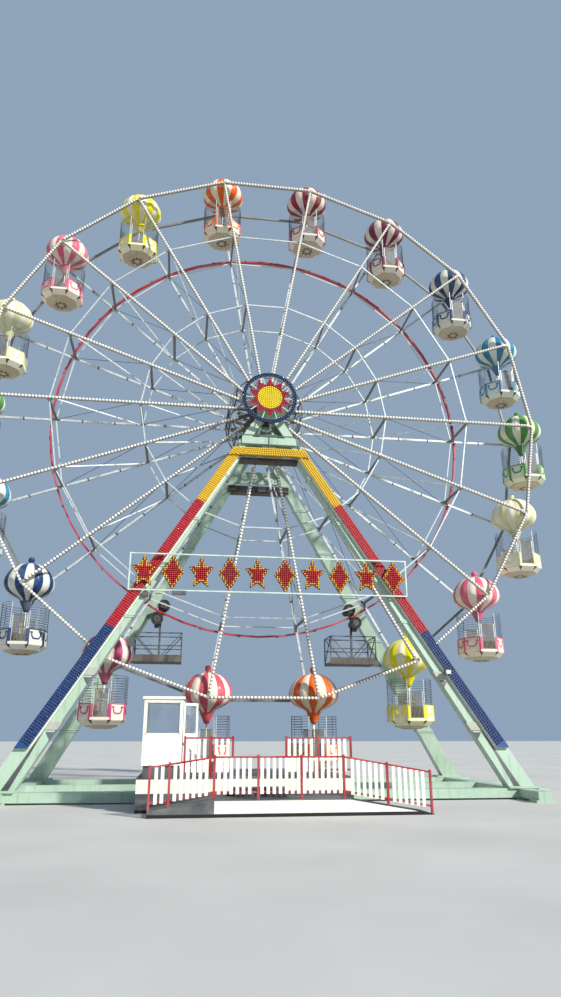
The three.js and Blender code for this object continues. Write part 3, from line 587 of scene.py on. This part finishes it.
dress([f"spoke_{i:02d}" for i in range(1, 19)] + ["hub", "front_rim"], SPOKE_STEEL)
dress(["tie_ring_front_inner", "tie_ring_front_outer", "tie_ring_rear_inner"], ZINC)
dress(["operator_booth", "booth_door"], WHITE)
dress(["drive_left", "drive_right"], DARK)
# Rear rim: galvanised, painted darker grey as its shade
dress(["rear_rim"], PLATE_GREY)
dress(["drive_ring"], RING_RED)
dress(["front_frame", "rear_frame", "base_frame"], MINT)
dress(["light_panels"], BOARD)
dress(["star_disc"], SUN)
dress(["sign"], SIGN)
dress(["walkway_fence", "deck_fence"], RED)
dress(["loading_deck"], TREAD)
dress([f"drive_tyre_{s}_{p}" for s in ("left", "right") for p in ("inner", "outer")], RUBBER)


# Gondolas, measured from the pivot
BALLOON = [(0.088, 0.945), (0.21, 0.922), (0.38, 0.878), (0.54, 0.808), (0.68, 0.705), (0.8, 0.57), (0.89, 0.42),
           (0.945, 0.27), (0.967, 0.13), (0.95, -0.01), (0.9, -0.12), (0.82, -0.215), (0.71, -0.29), (0.59, -0.35),
           (0.47, -0.405), (0.37, -0.455), (0.3, -0.51), (0.262, -0.56)]
CUP = [(0.262, -0.555), (0.275, -0.575), (0.262, -0.6), (0.2, -0.72), (0.13, -0.87), (0.095, -0.96), (0, -0.97)]
FINIAL = [(0.0, 1.2), (0.07, 1.187), (0.115, 1.14), (0.13, 1.08), (0.11, 1.01), (0.072, 0.968), (0.1, 0.955),
          (0.1, 0.925)]
TAPER = [(0.92, -2.27), (0.66, -2.46), (0.6, -2.5), (0.36, -2.56), (0.0, -2.567)]
TUB_TOP, TUB_EDGE, TUB_FLOOR, TUB_HALF = -1.7, -2.27, -2.23, 0.352
SILL, GATE, GATE_TOP = -2.17, 0.265, -1.185
POLE_TOP, HAND_WHEEL, BENCH = -0.96, -1.55, -1.98
CAGE_TOP, CAGE_LOW, CAGE_RADIUS, CAGE_SPAN = -0.7, -1.72, 0.875, math.radians(67.5)
PALE, COLOURED, LIGHT, STEEL, UNDER, LINING, PETAL, OLIVE, SHADOW = range(9)  # materials of a gondola


def octagon(radius, side, across=0.0, out=0.0):
    """A point on a flat of the tub: side counts the flats, across runs along it in metres."""
    angle = side * math.pi / 4
    apothem = radius * math.cos(math.pi / 8) + out
    return (apothem * math.cos(angle) - across * math.sin(angle), apothem * math.sin(angle) + across * math.cos(angle))


def tub_radius(z):
    return 0.905 + 0.015 * (TUB_TOP - z) / (TUB_TOP - TUB_EDGE)


def gondola(number, colour):
    centre = around(PIVOT, spoke_angle(number - 1), 0)
    name = f"gondola_{number:02d}"
    shape = Shape()

    def at(x, y, z):
        return centre + Vector((x, y, z))

    def panel(side, corners, out, back, paint_index):
        """A plate on a flat, from (across, z) corners, between two distances out from the wall."""
        ends = [[at(*octagon(tub_radius(z), side, s, shift), z) for s, z in corners] for shift in (back, out)]
        shape.hull(ends, paint_index)

    def plate(side, s0, s1, z0, z1, out, back, paint_index):
        panel(side, [(s0, z0), (s1, z0), (s1, z1), (s0, z1)], out, back, paint_index)

    def ribbon(side, path, width):
        """A raised band on a flat, along (across, z) points."""
        for (s0, z0), (s1, z1) in zip(path, path[1:]):
            length = math.hypot(s1 - s0, z1 - z0)
            ds, dz = -(z1 - z0) / length * width / 2, (s1 - s0) / length * width / 2
            panel(side, [(s0 - ds, z0 - dz), (s1 - ds, z1 - dz), (s1 + ds, z1 + dz), (s0 + ds, z0 + dz)],
                  0.014, -0.002, COLOURED)

    # Balloon in gores of two colours, cup, finial, taper and floor
    shape.turned(BALLOON, 64, centre, lambda row, i: COLOURED if (i // 4) % 2 else PALE, gore=0.045)
    shape.turned(CUP, 16, centre, COLOURED)
    shape.turned(FINIAL, 14, centre, COLOURED)
    shape.turned(TAPER, 8, centre, UNDER, False, math.pi / 8)
    # Floor, inner walls and benches of the tub take the dark lining, as painted shade inside it
    shape.turned([(0.0, TUB_FLOOR), (0.87, TUB_FLOOR)], 8, centre, LINING, False, math.pi / 8)
    # Walls: two flats with a gate, six with a garland between coloured edges
    for side in range(8):
        if side in (2, 6):
            plate(side, -TUB_HALF, TUB_HALF, TUB_EDGE, SILL, 0, -0.05, PALE)
            for left, right in ((-TUB_HALF, -GATE), (GATE, TUB_HALF)):
                plate(side, left, right, SILL, TUB_TOP, 0.012, -0.045, COLOURED)
        else:
            plate(side, -TUB_HALF, TUB_HALF, TUB_EDGE, TUB_TOP, 0, -0.014, PALE)
            # Inner layer of the wall: dark, as painted shade
            plate(side, -TUB_HALF, TUB_HALF, TUB_EDGE, TUB_TOP, -0.014, -0.05, LINING)
            ribbon(side, [(-0.2, -1.8), (-0.19, -1.94), (-0.12, -2.04), (0.12, -2.04), (0.19, -1.94),
                          (0.2, -1.8)], 0.055)
            for s in (-1, 1):
                ribbon(side, [(s * 0.265, -1.835), (s * 0.225, -1.8), (s * 0.15, -1.82)], 0.04)
            a, b = octagon(0.89, side, -0.33), octagon(0.89, side, 0.33)
            shape.bar(at(*a, TUB_TOP), at(*b, TUB_TOP), 0.06, 0.04, COLOURED, (0, 0, 1))
            for left, right in ((-TUB_HALF, -0.29), (0.29, TUB_HALF)):
                plate(side, left, right, TUB_EDGE, TUB_TOP, 0.012, -0.002, COLOURED)
        # Raised cream panel on each tapered flat, painted shadow in the corners between them
        ends = [[at(*octagon(r, side, s * w, out), z - out * 0.6)
                 for r, z, w, s in ((0.905, -2.277, 0.275, -1), (0.905, -2.277, 0.275, 1),
                                    (0.69, -2.438, 0.262, 1), (0.69, -2.438, 0.262, -1))] for out in (0.0, 0.018)]
        shape.hull(ends, PALE)
        for s in (-1, 1):
            spots = [octagon(0.915, side, s * w) for w in (0.28, 0.345)] + [octagon(0.75, side, s * 0.28)]
            corners = [at(x, y, z - 0.004) for (x, y), z in zip(spots, (-2.279, -2.279, -2.396))]
            shape.add(corners, [(0, 1, 2) if s < 0 else (2, 1, 0)], SHADOW)
    # Rosette under the floor: a ring round eight petals
    shape.turned([(0.33, -2.55), (0.34, -2.572), (0.37, -2.572), (0.38, -2.54)], 24, centre, UNDER)
    for k in range(8):
        a = k * math.pi / 4
        flat = [(0.1, a), (0.21, a - 0.36), (0.3, a), (0.21, a + 0.36)]
        low = [at(r * math.cos(t), r * math.sin(t), -2.555) for r, t in flat]
        shape.hull([[p - Vector((0, 0, 0.015)) for p in low], low], PETAL)
    # Benches round both sides, pole with its hand wheel, pivot bosses
    for side in (-1, 1):
        for turn in (-1, 0, 1):
            flat = (0 if side > 0 else 4) + turn
            for r0, r1, w0, w1, z0, z1 in ((0.52, 0.84, 0.2, 0.32, BENCH, BENCH + 0.05),
                                           (0.56, 0.6, 0.2, 0.22, TUB_FLOOR, BENCH)):
                shape.hull([[at(*octagon(r, flat, s * w), z) for r, w, s in
                             ((r0, w0, -1), (r1, w1, -1), (r1, w1, 1), (r0, w0, 1))] for z in (z0, z1)], LINING)
        shape.tube(at(0, side * 0.9, 0), at(0, side * 1.0645, 0), 0.055, 12, STEEL)
        shape.tube(at(0, side * 0.93, 0), at(0, side * 1.0, 0), 0.11, 14, STEEL)
    shape.tube(at(0, 0, TUB_FLOOR), at(0, 0, POLE_TOP), 0.034, 10, LIGHT)
    rim = [(0.2, 0), (0.217, 0.017), (0.234, 0), (0.217, -0.017), (0.2, 0)]
    shape.turned([(r, HAND_WHEEL + z) for r, z in rim], 20, centre, LIGHT)
    for k in range(4):
        angle = k * math.pi / 2 + 0.4
        x, y = math.cos(angle), math.sin(angle)
        ends = [at(r * x, r * y, HAND_WHEEL) for r in (0.04, 0.21)]
        shape.bar(*ends, 0.025, 0.012, LIGHT, (0, 0, 1))
    # Gates of upright bars, and the posts of the cage
    for side in (-1, 1):
        y = side * 0.82
        for x in (-GATE, GATE):
            shape.bar(at(x, y, SILL), at(x, y, GATE_TOP + 0.015), 0.034, 0.034, STEEL)
        for z in (SILL + 0.02, GATE_TOP):
            shape.bar(at(-GATE, y, z), at(GATE, y, z), 0.03, 0.03, OLIVE, (0, 0, 1))
        for k in range(9):
            x = -0.212 + 0.053 * k
            shape.bar(at(x, y, SILL), at(x, y, GATE_TOP), 0.028, 0.014, OLIVE)
        for x in (-0.335, 0.335):
            shape.bar(at(x, side * 0.808, -1.76), at(x, side * 0.808, CAGE_TOP), 0.026, 0.026, STEEL)
    own = OWN_TINT.get(number, colour)
    tints = [CREAMS[own], TINTS[own], WHITE, ZINC, TAN, SHADE, ROSETTE, GATE_OLIVE, BROWN]
    piece(name + "_cabin", shape, name, "balloon_" + colour, tints, [name])

    # Cage: level wires round both sides, three uprights, dark grey as painted shade of the wires
    lines = Lines()

    def on_cage(side, a, z):
        return at(side * CAGE_RADIUS * math.cos(a), CAGE_RADIUS * math.sin(a), z)

    for side in (-1, 1):
        for k in range(11):
            arc = [-CAGE_SPAN + 2 * CAGE_SPAN * j / 10 for j in range(11)]
            lines.path([on_cage(side, a, CAGE_TOP - 0.095 * k) for a in arc])
        for a in (-math.pi / 8, 0, math.pi / 8):
            lines.path([on_cage(side, a, z) for z in (CAGE_LOW, CAGE_TOP)])
    grow(name + "_cage", WIRES, lines.points, lines.edges, name, "dark_steel",
         Radius=0.008, Sides=5, Material=DARK)


for number in range(1, COUNT + 1):
    gondola(number, CYCLE[(number - 1) % 9])


# Wheel: bulbs, collars, gussets and wires
FRONT = -PLANE - CHORD / 2 - 0.02
NEAR = PLANE - 0.05  # where wires meet the chords
COLLARS = (2.9, 4.3, 6.5, 7.9, 10.4)
spoke_points, rim_points = [], []
clamps, plates, wires = Shape(), Shape(), Lines()
for index in range(COUNT):
    angle, following = spoke_angle(index), spoke_angle(index + 1)
    across = Vector((math.cos(angle), 0, -math.sin(angle)))

    def at(radius, y, shift=0.0):
        return around(radius, angle, y) + across * shift

    spoke_points += [at(1.3 + BULB_PITCH * k, FRONT) for k in range(79)]
    one, two = at(RIM, FRONT), around(RIM, following, FRONT)
    rim_points += [one.lerp(two, (k + 1) / 31) for k in range(30)]
    for radius in COLLARS:
        clamps.bar(at(radius - 0.03, PLANE), at(radius + 0.03, PLANE), 0.105, 0.105)
    for side in (-1, 1):
        edge = side * (PLANE - CHORD / 2)
        # Gussets at the struts; those at the outer strut are longer
        for tie, reach, drop in zip(TIES[side], (0.13, 0.2), (0.2, 0.26)):
            for way in (-1, 1):
                corners = [at(tie, edge), at(tie + way * reach, edge), at(tie, edge - side * drop)]
                plates.wedge([[c + across * s for c in corners] for s in (-0.012, 0.012)])
    # Struts from the rear chord to the drive ring
    clamps.bar(at(9.62, PLANE + 0.04), at(DRIVE_RING, DRIVE_Y - RING_AXIAL), 0.04, 0.05)
    # Thin second brace of each bay
    wires.path([at(TIES[-1][0] + 0.1, -NEAR, 0.04), at(TIES[1][1] - 0.1, NEAR, 0.04)])
    wires.path([at(1.75, -NEAR, 0.04), at(TIES[1][0] - 0.1, NEAR, 0.04)])
    # Cage between the hub's two plates, its bars and wires dark grey as painted shade of the hub
    clamps.bar(at(1.6, -PLANE), at(1.6, PLANE), 0.05, 0.05, 0, across)
    for side in (-1, 1):
        clamps.bar(at(1.58, side * PLANE), around(1.58, following, side * PLANE), 0.05, 0.05)
        wires.path([at(1.58, side * NEAR), around(1.58, following, -side * NEAR)])
        wires.path([at(1.6, side * 0.37), around(1.6, following, side * 0.37)])
        wires.path([at(0.5, side * 0.5), at(1.55, side * NEAR)])
bulbs("spoke_bulbs", spoke_points, "wheel", "white", 0.058, 0.9)
bulbs("rim_bulbs", rim_points, "wheel", "white", 0.058, 0.9)
piece("wheel_collars_and_hub_cage", clamps, "wheel", "dark_steel", [DARK])
piece("wheel_gusset_plates", plates, "wheel", "dark_steel", [PLATE_GREY])
grow("wheel_brace_wires", WIRES, wires.points, wires.edges, "wheel", "dark_steel",
     Radius=0.012, Sides=6, Material=DARK)

joints = Shape()
for k in range(36):
    angle = (k + 0.5) * math.pi / 18
    radius = (DRIVE_RING + 0.012) * math.cos(math.pi / 108) if k % 3 else DRIVE_RING
    joints.bar(around(radius, angle - 0.006, DRIVE_Y), around(radius, angle + 0.006, DRIVE_Y),
               2 * RING_RADIAL + 0.01, 2 * RING_AXIAL + 0.016)
piece("drive_ring_joints", joints, "wheel", "dark_steel", [DARK])


# Light boards: four rows of bulbs along each leg board and along the board between them
def board_points():
    spots = {"yellow": [], "red": [], "blue": []}
    top = -2.3
    slope = math.sqrt(1 + LEG_SPREAD**2)
    count = int((top - PANEL_LOW - 0.1) * slope / BOARD_PITCH)
    for side in (-1, 1):
        for k in range(count):
            middle = top - k * BOARD_PITCH / slope
            colour = "yellow" if middle > RED_TOP else "red" if middle > BLUE_TOP else "blue"
            for row in (-1.5, -0.5, 0.5, 1.5):
                shift = row * BOARD_PITCH
                z = middle + shift * LEG_SPREAD / slope
                x = side * (leg_x(middle) - PANEL_WIDTH / 2 + shift / slope)
                y = BOARD_FACE if z > BOARD_CORNER else -leg_y(z) - PANEL_THICK - 0.008
                if z < top - 0.01:
                    spots[colour].append((x, y, z + HUB_Z))
    for row in range(4):
        z = top - 0.02 - row * 0.08
        half = leg_x(z) - PANEL_WIDTH - 0.03
        spots["yellow"] += [(-half + 2 * half * k / 24, BOARD_FACE, z + HUB_Z) for k in range(25)]
    return spots


base_bulbs("light_board", board_points(), 0.041, 0.7)


# Sunburst: dense centre, ten points and a double outer ring
def on_sun(radius, angle, shift=0.0):
    """A point of the sunburst's face, shifted along a tangent."""
    x, y, z = around(radius, angle, SUN_FACE)
    return (x + shift * math.cos(angle), y, z - SUN_DROP - shift * math.sin(angle))


spots = {"lemon": [on_sun(0, 0)], "crimson": [], "navy": []}
for ring in range(1, 7):
    spots["lemon"] += [on_sun(0.08 * ring, 2 * math.pi * k / (6 * ring)) for k in range(6 * ring)]
for point in range(10):
    for row, radius in enumerate((0.56, 0.63, 0.7, 0.77, 0.84)):
        shifts = [(k - (4 - row) / 2) * 0.075 for k in range(5 - row)]
        spots["crimson"] += [on_sun(radius, point * math.pi / 5, shift) for shift in shifts]
for radius, turn in ((1.01, 0), (1.09, 0.5)):
    spots["navy"] += [on_sun(radius, 2 * math.pi * (k + turn) / 52) for k in range(52)]
base_bulbs("sunburst", spots, 0.036, 0.9)


# Sign: stars and diamonds in turn, red bulbs with a yellow edge
def depth_inside(x, z, outline):
    """Distance from a point inside an outline to its nearest edge, or 0 outside it."""
    found, distances = False, []
    for (x0, z0), (x1, z1) in zip(outline, outline[1:] + outline[:1]):
        dx, dz = x1 - x0, z1 - z0
        if (z0 > z) != (z1 > z) and x < dx * (z - z0) / dz + x0:
            found = not found
        t = max(0.0, min(1.0, ((x - x0) * dx + (z - z0) * dz) / (dx * dx + dz * dz)))
        distances.append(math.hypot(x - x0 - t * dx, z - z0 - t * dz))
    return min(distances) if found else 0.0


spots = {"red": [], "yellow": []}
for index in range(10):
    middle = SIGN_FIRST + index * SIGN_STEP
    corners, inner, squeeze = (4, 0.65, 0.62) if index % 2 else (10, 0.33, 0.72)
    outline = []
    for corner in range(corners):
        radius, a = inner if corner % 2 else 0.65, corner * 2 * math.pi / corners
        outline.append((middle + squeeze * radius * math.sin(a), SIGN_MIDDLE + radius * math.cos(a)))
    for column in range(-7, 8):
        for row in range(-9, 10):
            x, z = middle + column * SIGN_PITCH, SIGN_MIDDLE + row * SIGN_PITCH
            depth = depth_inside(x, z, outline)
            if depth > 0.02:
                spots["yellow" if depth < 0.085 else "red"].append((x, SIGN_FACE, z + HUB_Z))
base_bulbs("sign", spots, 0.034, 1.0)

# A-frames: flanged joints, edge lines with a line of painted shadow, a dark wedge of painted shade, and gussets of the
# legs
GREY, BOARDS, GREEN, BRIGHT, DULL, PRIMED = range(6)  # materials of the dark shape
trim, dark = Shape(), Shape()
for depth in (-1, 1):
    for side in (-1, 1):
        for k in range(4 if depth < 0 else 6):
            z = -3.52 - 1.9 * k
            near, far = PANEL_WIDTH + 0.01 if depth < 0 else -0.03, leg_width(depth, z) + 0.03
            for low, high, shape in ((0, 0.05, trim), (0.07, 0.12, trim), (0.05, 0.07, dark)):
                leg_slab(shape, side, depth, [(z + h, near, far) for h in (low, high)], (0.03, -0.48))
for side in (-1, 1):
    # Beside each board a white edge strip, then a dark green line of painted shadow
    for near, far, tint in ((0.452, 0.487, BRIGHT), (0.487, 0.505, GREEN)):
        leg_slab(dark, side, -1, [(z, near, far) for z in (-2.62, PANEL_LOW)], (0.006, -0.01), tint)
    # Dark wedge beside the lower board: a thin sheet of painted shade
    leg_slab(dark, side, -1, [(-13.0, 0.516, 0.53), (-14.78, 0.516, 0.74)], (0.005, -0.01), GREY)
    for z in (-11.1, -12.85):
        far = leg_width(-1, z) + 0.05
        leg_slab(dark, side, -1, [(z + h, 0.52, far) for h in (0.13, -0.13)], (0.025, -0.3), PRIMED)
        corners = (far - 0.3, z - 0.2), (far, z - 0.2), (far, z - 0.45)
        dark.wedge([[on_leg(side, -1, i, out, h) for i, h in corners] for out in (0.02, -0.02)], GREY)


# Head: boards and rails of the platforms, gearbox, motor and pipes, dark green as painted shade of the opening they
# fill, and a dark sheet of painted shade under the beam; z counts from the hub
def head_box(low, high, paint_index):
    dark.box((low[0], low[1], HUB_Z + low[2]), (high[0], high[1], HUB_Z + high[2]), paint_index)


for depth, half in ((-1, 1.3), (1, 1.39)):
    for k in range(4):
        y0, y1 = sorted((depth * (1.7 + 0.13 * k), depth * (1.82 + 0.13 * k)))
        head_box((-half, y0, -2.745), (half, y1, -2.715), BOARDS)
    head_box((-half, depth * 2.2 - 0.018, -2.74), (half, depth * 2.2 + 0.018, -2.64), BOARDS)
for k in range(2):
    head_box((-1.37, 1.66, -2.715 + 0.135 * k), (1.37, 1.698, -2.59 + 0.135 * k), BOARDS)
# Dark sheet under the head beam: painted shade of the slot there
head_box((-0.9, -1.77, -2.3), (0.9, -1.75, -2.09), GREY)
# Dark green parts inside the head: painted shade of the opening
head_box((-0.26, -2.18, -2.34), (0.26, -2.06, -2.06), GREEN)
head_box((-1.29, -2.3, -2.665), (1.29, -2.27, -2.637), PRIMED)
head_box((-0.36, -2.0, -1.73), (0.36, -1.7, -1.5), GREEN)
dark.prism([(x, HUB_Z + z) for x, z in ((-0.6, -1.72), (0.6, -1.72), (0.33, -1.12), (-0.33, -1.12))],
           -1.86, -1.62, GREEN)
for x, top, radius, tint in ((-0.2, -1.28, 0.1, GREEN), (0.17, -1.34, 0.07, BRIGHT)):
    dark.tube((x, -1.85, HUB_Z - 1.5), (x, -1.85, HUB_Z + top), radius, 12, tint)
dark.bar((-0.5, -1.9, HUB_Z - 1.65), (0.5, -1.9, HUB_Z - 1.65), 0.04, 0.04, BRIGHT)
# Lamps on the legs and under the sign
for x, z, y, face in ((6.31, 4.1, -3.39, BRIGHT), (-4.5, 6.72, -2.87, DULL)):
    dark.box((x - 0.11, y - 0.2, z), (x + 0.11, y - 0.04, z + 0.18), GREY)
    dark.box((x - 0.08, y - 0.205, z + 0.03), (x + 0.08, y - 0.195, z + 0.15), face)
    dark.box((x - 0.03, y - 0.06, z + 0.05), (x + 0.03, y + 0.02, z + 0.12), GREY)
head_box((-3.56, -3.2, -8.41), (-3.06, -3.06, -8.27), GREY)
piece("a_frame_flanges", trim, "base", "mint_paint", [MINT_TRIM])
piece("a_frame_platform_boards_and_lamps", dark, "base", "dark_steel",
      [DARK, BROWN, GREEN_DARK, WHITE, HUB_BROWN, PRIMER])

# Drives: hub discs of the tyres, motors, mesh and braces of the work platforms
PLATFORM_NEAR, PLATFORM_FAR = 1.58, 2.88
ring_in = (DRIVE_RING - RING_RADIAL) * math.cos(math.pi / 54)
floor_z, rail_z = HUB_Z - 10.2, HUB_Z - 9.12
for side, word in ((-1, "left"), (1, "right")):
    motors, mesh = Shape(), Lines()
    for place, radius in (("inner", ring_in - 0.006 - TYRE), ("outer", DRIVE_RING + RING_RADIAL + 0.006 + TYRE)):
        x, y, z = around(radius, math.pi - side * DRIVE_ANGLE, DRIVE_Y)
        disc = Shape()
        disc.tube((x, y - 0.083, z), (x, y - 0.074, z), TYRE * 0.5, 24, 0)
        disc.tube((x, y - 0.09, z), (x, y - 0.082, z), TYRE * 0.3, 16, 1)
        for k in range(6):
            a = k * math.pi / 3
            u, w = x + 0.095 * math.cos(a), z + 0.095 * math.sin(a)
            disc.tube((u, y - 0.088, w), (u, y - 0.082, w), 0.014, 8, 1)
        node = f"drive_tyre_{word}_{place}"
        piece(node + "_disc", disc, node, "dark_steel", [HUB_BROWN, DARK])
        # Gear, finned motor and its terminal box
        motors.tube((x, 1.43, z), (x, 1.62, z), 0.21, 18, 0, 0.17)
        motors.tube((x, 1.62, z), (x, 2.05, z), 0.14, 16, 0)
        for k in range(8):
            motors.tube((x, 1.66 + 0.045 * k, z), (x, 1.675 + 0.045 * k, z), 0.168, 16, 0)
        motors.box((x - 0.08, 1.72, z + 0.13), (x + 0.08, 1.92, z + 0.23), 0)
        if place == "outer":
            motors.box((x - 0.1, 1.42, z - 0.34), (x + 0.1, 1.62, z - 0.2), 0)
    # Floor boards, toe board, crossed braces
    x0, x1 = sorted((side * 3.12, side * 5.12))
    for k in range(8):
        y = 1.57 + 0.166 * k
        motors.box((x0, y, floor_z - 0.072), (x1, y + 0.15, floor_z - 0.06), 1)
    motors.box((x0 - 0.01, 1.545, floor_z - 0.062), (x1 + 0.01, 1.559, floor_z + 0.17), 2)
    motors.box((x0 - 0.01, 1.54, floor_z - 0.085), (x1 + 0.01, 1.6, floor_z - 0.062), 0)
    for a in (x0 + 0.02, x1 - 0.02):
        for y in (PLATFORM_NEAR, PLATFORM_FAR):
            motors.bar((a, y, rail_z), ((x0 + x1) / 2, y, floor_z), 0.03, 0.03, 0)
        motors.bar((a, PLATFORM_NEAR, rail_z), (a, PLATFORM_FAR, floor_z), 0.03, 0.03, 0, (1, 0, 0))
    # Wire mesh of the rear rail
    back = PLATFORM_FAR - 0.005
    for k in range(20):
        x = x0 + 0.05 + 0.1 * k
        mesh.path([(x, back, floor_z), (x, back, rail_z)])
    for k in range(11):
        mesh.path([(x0, back, floor_z + 0.1 * k), (x1, back, floor_z + 0.1 * k)])
    piece(f"drive_{word}_motors_and_braces", motors, "base", "dark_steel", [DARK, BROWN, HUB_BROWN])
    grow(f"drive_{word}_mesh", WIRES, mesh.points, mesh.edges, "base", "galvanised_steel",
         Radius=0.004, Sides=4, Material=ZINC)


# Fences: white pickets on the red rails
def walkway_height(x):
    for (x0, z0), (x1, z1) in zip(RAMPS, RAMPS[1:]):
        if x <= x1:
            return z0 + (x - x0) * (z1 - z0) / (x1 - x0)


def pickets(first, count, posts, y, height):
    """Feet of pickets from a first x on, with none at a post."""
    xs = [first + 0.165 * k for k in range(count)]
    return [(x, y, height(x) + 0.14) for x in xs if min(abs(x - p) for p in posts) > 0.07]


front_pickets = pickets(-3.81, 47, FRONT_POSTS, WALKWAY_FRONT + 0.011, walkway_height)
deck_pickets = [foot for first, count in ((-2.84, 8), (0.1, 11))
                for foot in pickets(first, count, DECK_POSTS, DECK_FRONT + 0.02, lambda x: UPPER_DECK)]
for word, feet in (("walkway", front_pickets), ("deck", deck_pickets)):
    grow(word + "_fence_pickets", SLATS, feet, [], "base", "white_paint", Size=(0.09, 0.018, 0.9), Material=WHITE)


# Booth: panes in three windows, trim round the front one, plinth, desk and sheet of the roof
left, right, front, back = -4.12, -3.0, -6.7, -5.5
sill, lintel = 2.095, 2.955
panes, booth_trim = Shape(), Shape()
panes.box((left + 0.085, front + 0.02, sill), (right - 0.085, front + 0.028, lintel))
panes.box((left + 0.02, front + 0.115, sill), (left + 0.028, back - 0.115, lintel))
panes.box((left + 0.115, back - 0.028, sill), (right - 0.115, back - 0.02, lintel))
piece("booth_panes", panes, "base", "white_paint", [GLASS])
for z in (sill - 0.01, lintel + 0.01):
    booth_trim.box((left + 0.07, front - 0.012, z - 0.02), (right - 0.07, front + 0.002, z + 0.02))
for x in (left + 0.075, right - 0.075):
    booth_trim.box((x - 0.02, front - 0.012, sill - 0.015), (x + 0.02, front + 0.002, lintel + 0.015))
booth_trim.box((left + 0.05, front + 0.05, UPPER_DECK + 0.002), (right - 0.05, back - 0.05, 1.228), 1)
booth_trim.box((left + 0.15, front + 0.3, 1.95), (right - 0.25, front + 0.34, 2.1), 1)
booth_trim.box((left - 0.045, front - 0.045, 3.104), (right + 0.045, back + 0.045, 3.118), 0)
piece("booth_trim_and_plinth", booth_trim, "base", "white_paint", [WHITE, DARK])
# Pane of the door, which stands open at rest
turn = -math.pi / 4
out, along = Vector((math.cos(turn), math.sin(turn), 0)), Vector((-math.sin(turn), math.cos(turn), 0))
hinge = Vector((right + 0.02, front + 0.16, 0))
leaf = Shape()
leaf.hull([[hinge + along * s + out * o + Vector((0, 0, z)) for s, o in
            ((0.07, -0.014), (0.535, -0.014), (0.535, -0.022), (0.07, -0.022))] for z in (sill, 2.885)])
piece("booth_door_pane", leaf, "booth_door", "white_paint", [GLASS])


# Floor, light and camera
def aimed(name, data, direction, location=(0, 0, 0)):
    """Places a light or camera that looks in a direction."""
    made = place_object(name, data)
    made.location = location
    made.rotation_euler = Vector(direction).to_track_quat("-Z", "Y").to_euler()
    return made


FLOOR_HALF = 300
ground = bpy.data.meshes.new("studio_floor")
ground.from_pydata([(x * FLOOR_HALF, y * FLOOR_HALF, 0) for x, y in ((-1, -1), (1, -1), (1, 1), (-1, 1))],
                   [], [(0, 1, 2, 3)])
ground.materials.append(FLOOR)
floor = place_object("studio_floor", ground)

world = bpy.data.worlds.new("studio")
bpy.context.scene.world = world
world.use_nodes = True
tree = world.node_tree
tree.nodes.clear()
sky = add(tree, "ShaderNodeBackground", {"Color": rgb("a9c0da"), "Strength": 0.7})
add(tree, "ShaderNodeOutputWorld", {"Surface": sky.outputs[0]})
sun = bpy.data.lights.new("key_light", "SUN")
sun.energy = 4.8
sun.angle = math.radians(3)
sun.color = (1.0, 0.97, 0.92)
aimed("key_light", sun, (-0.55, 0.62, -0.56))

bpy.context.scene.view_settings.view_transform = "Standard"
lens = bpy.data.cameras.new("camera")
lens.sensor_width = 36
lens.lens = 25.47
lens.clip_end = 1000
bpy.context.scene.camera = aimed("camera", lens, (0.1294, 0.9386, 0.3197), (-3.125, -28.265, 2.013))
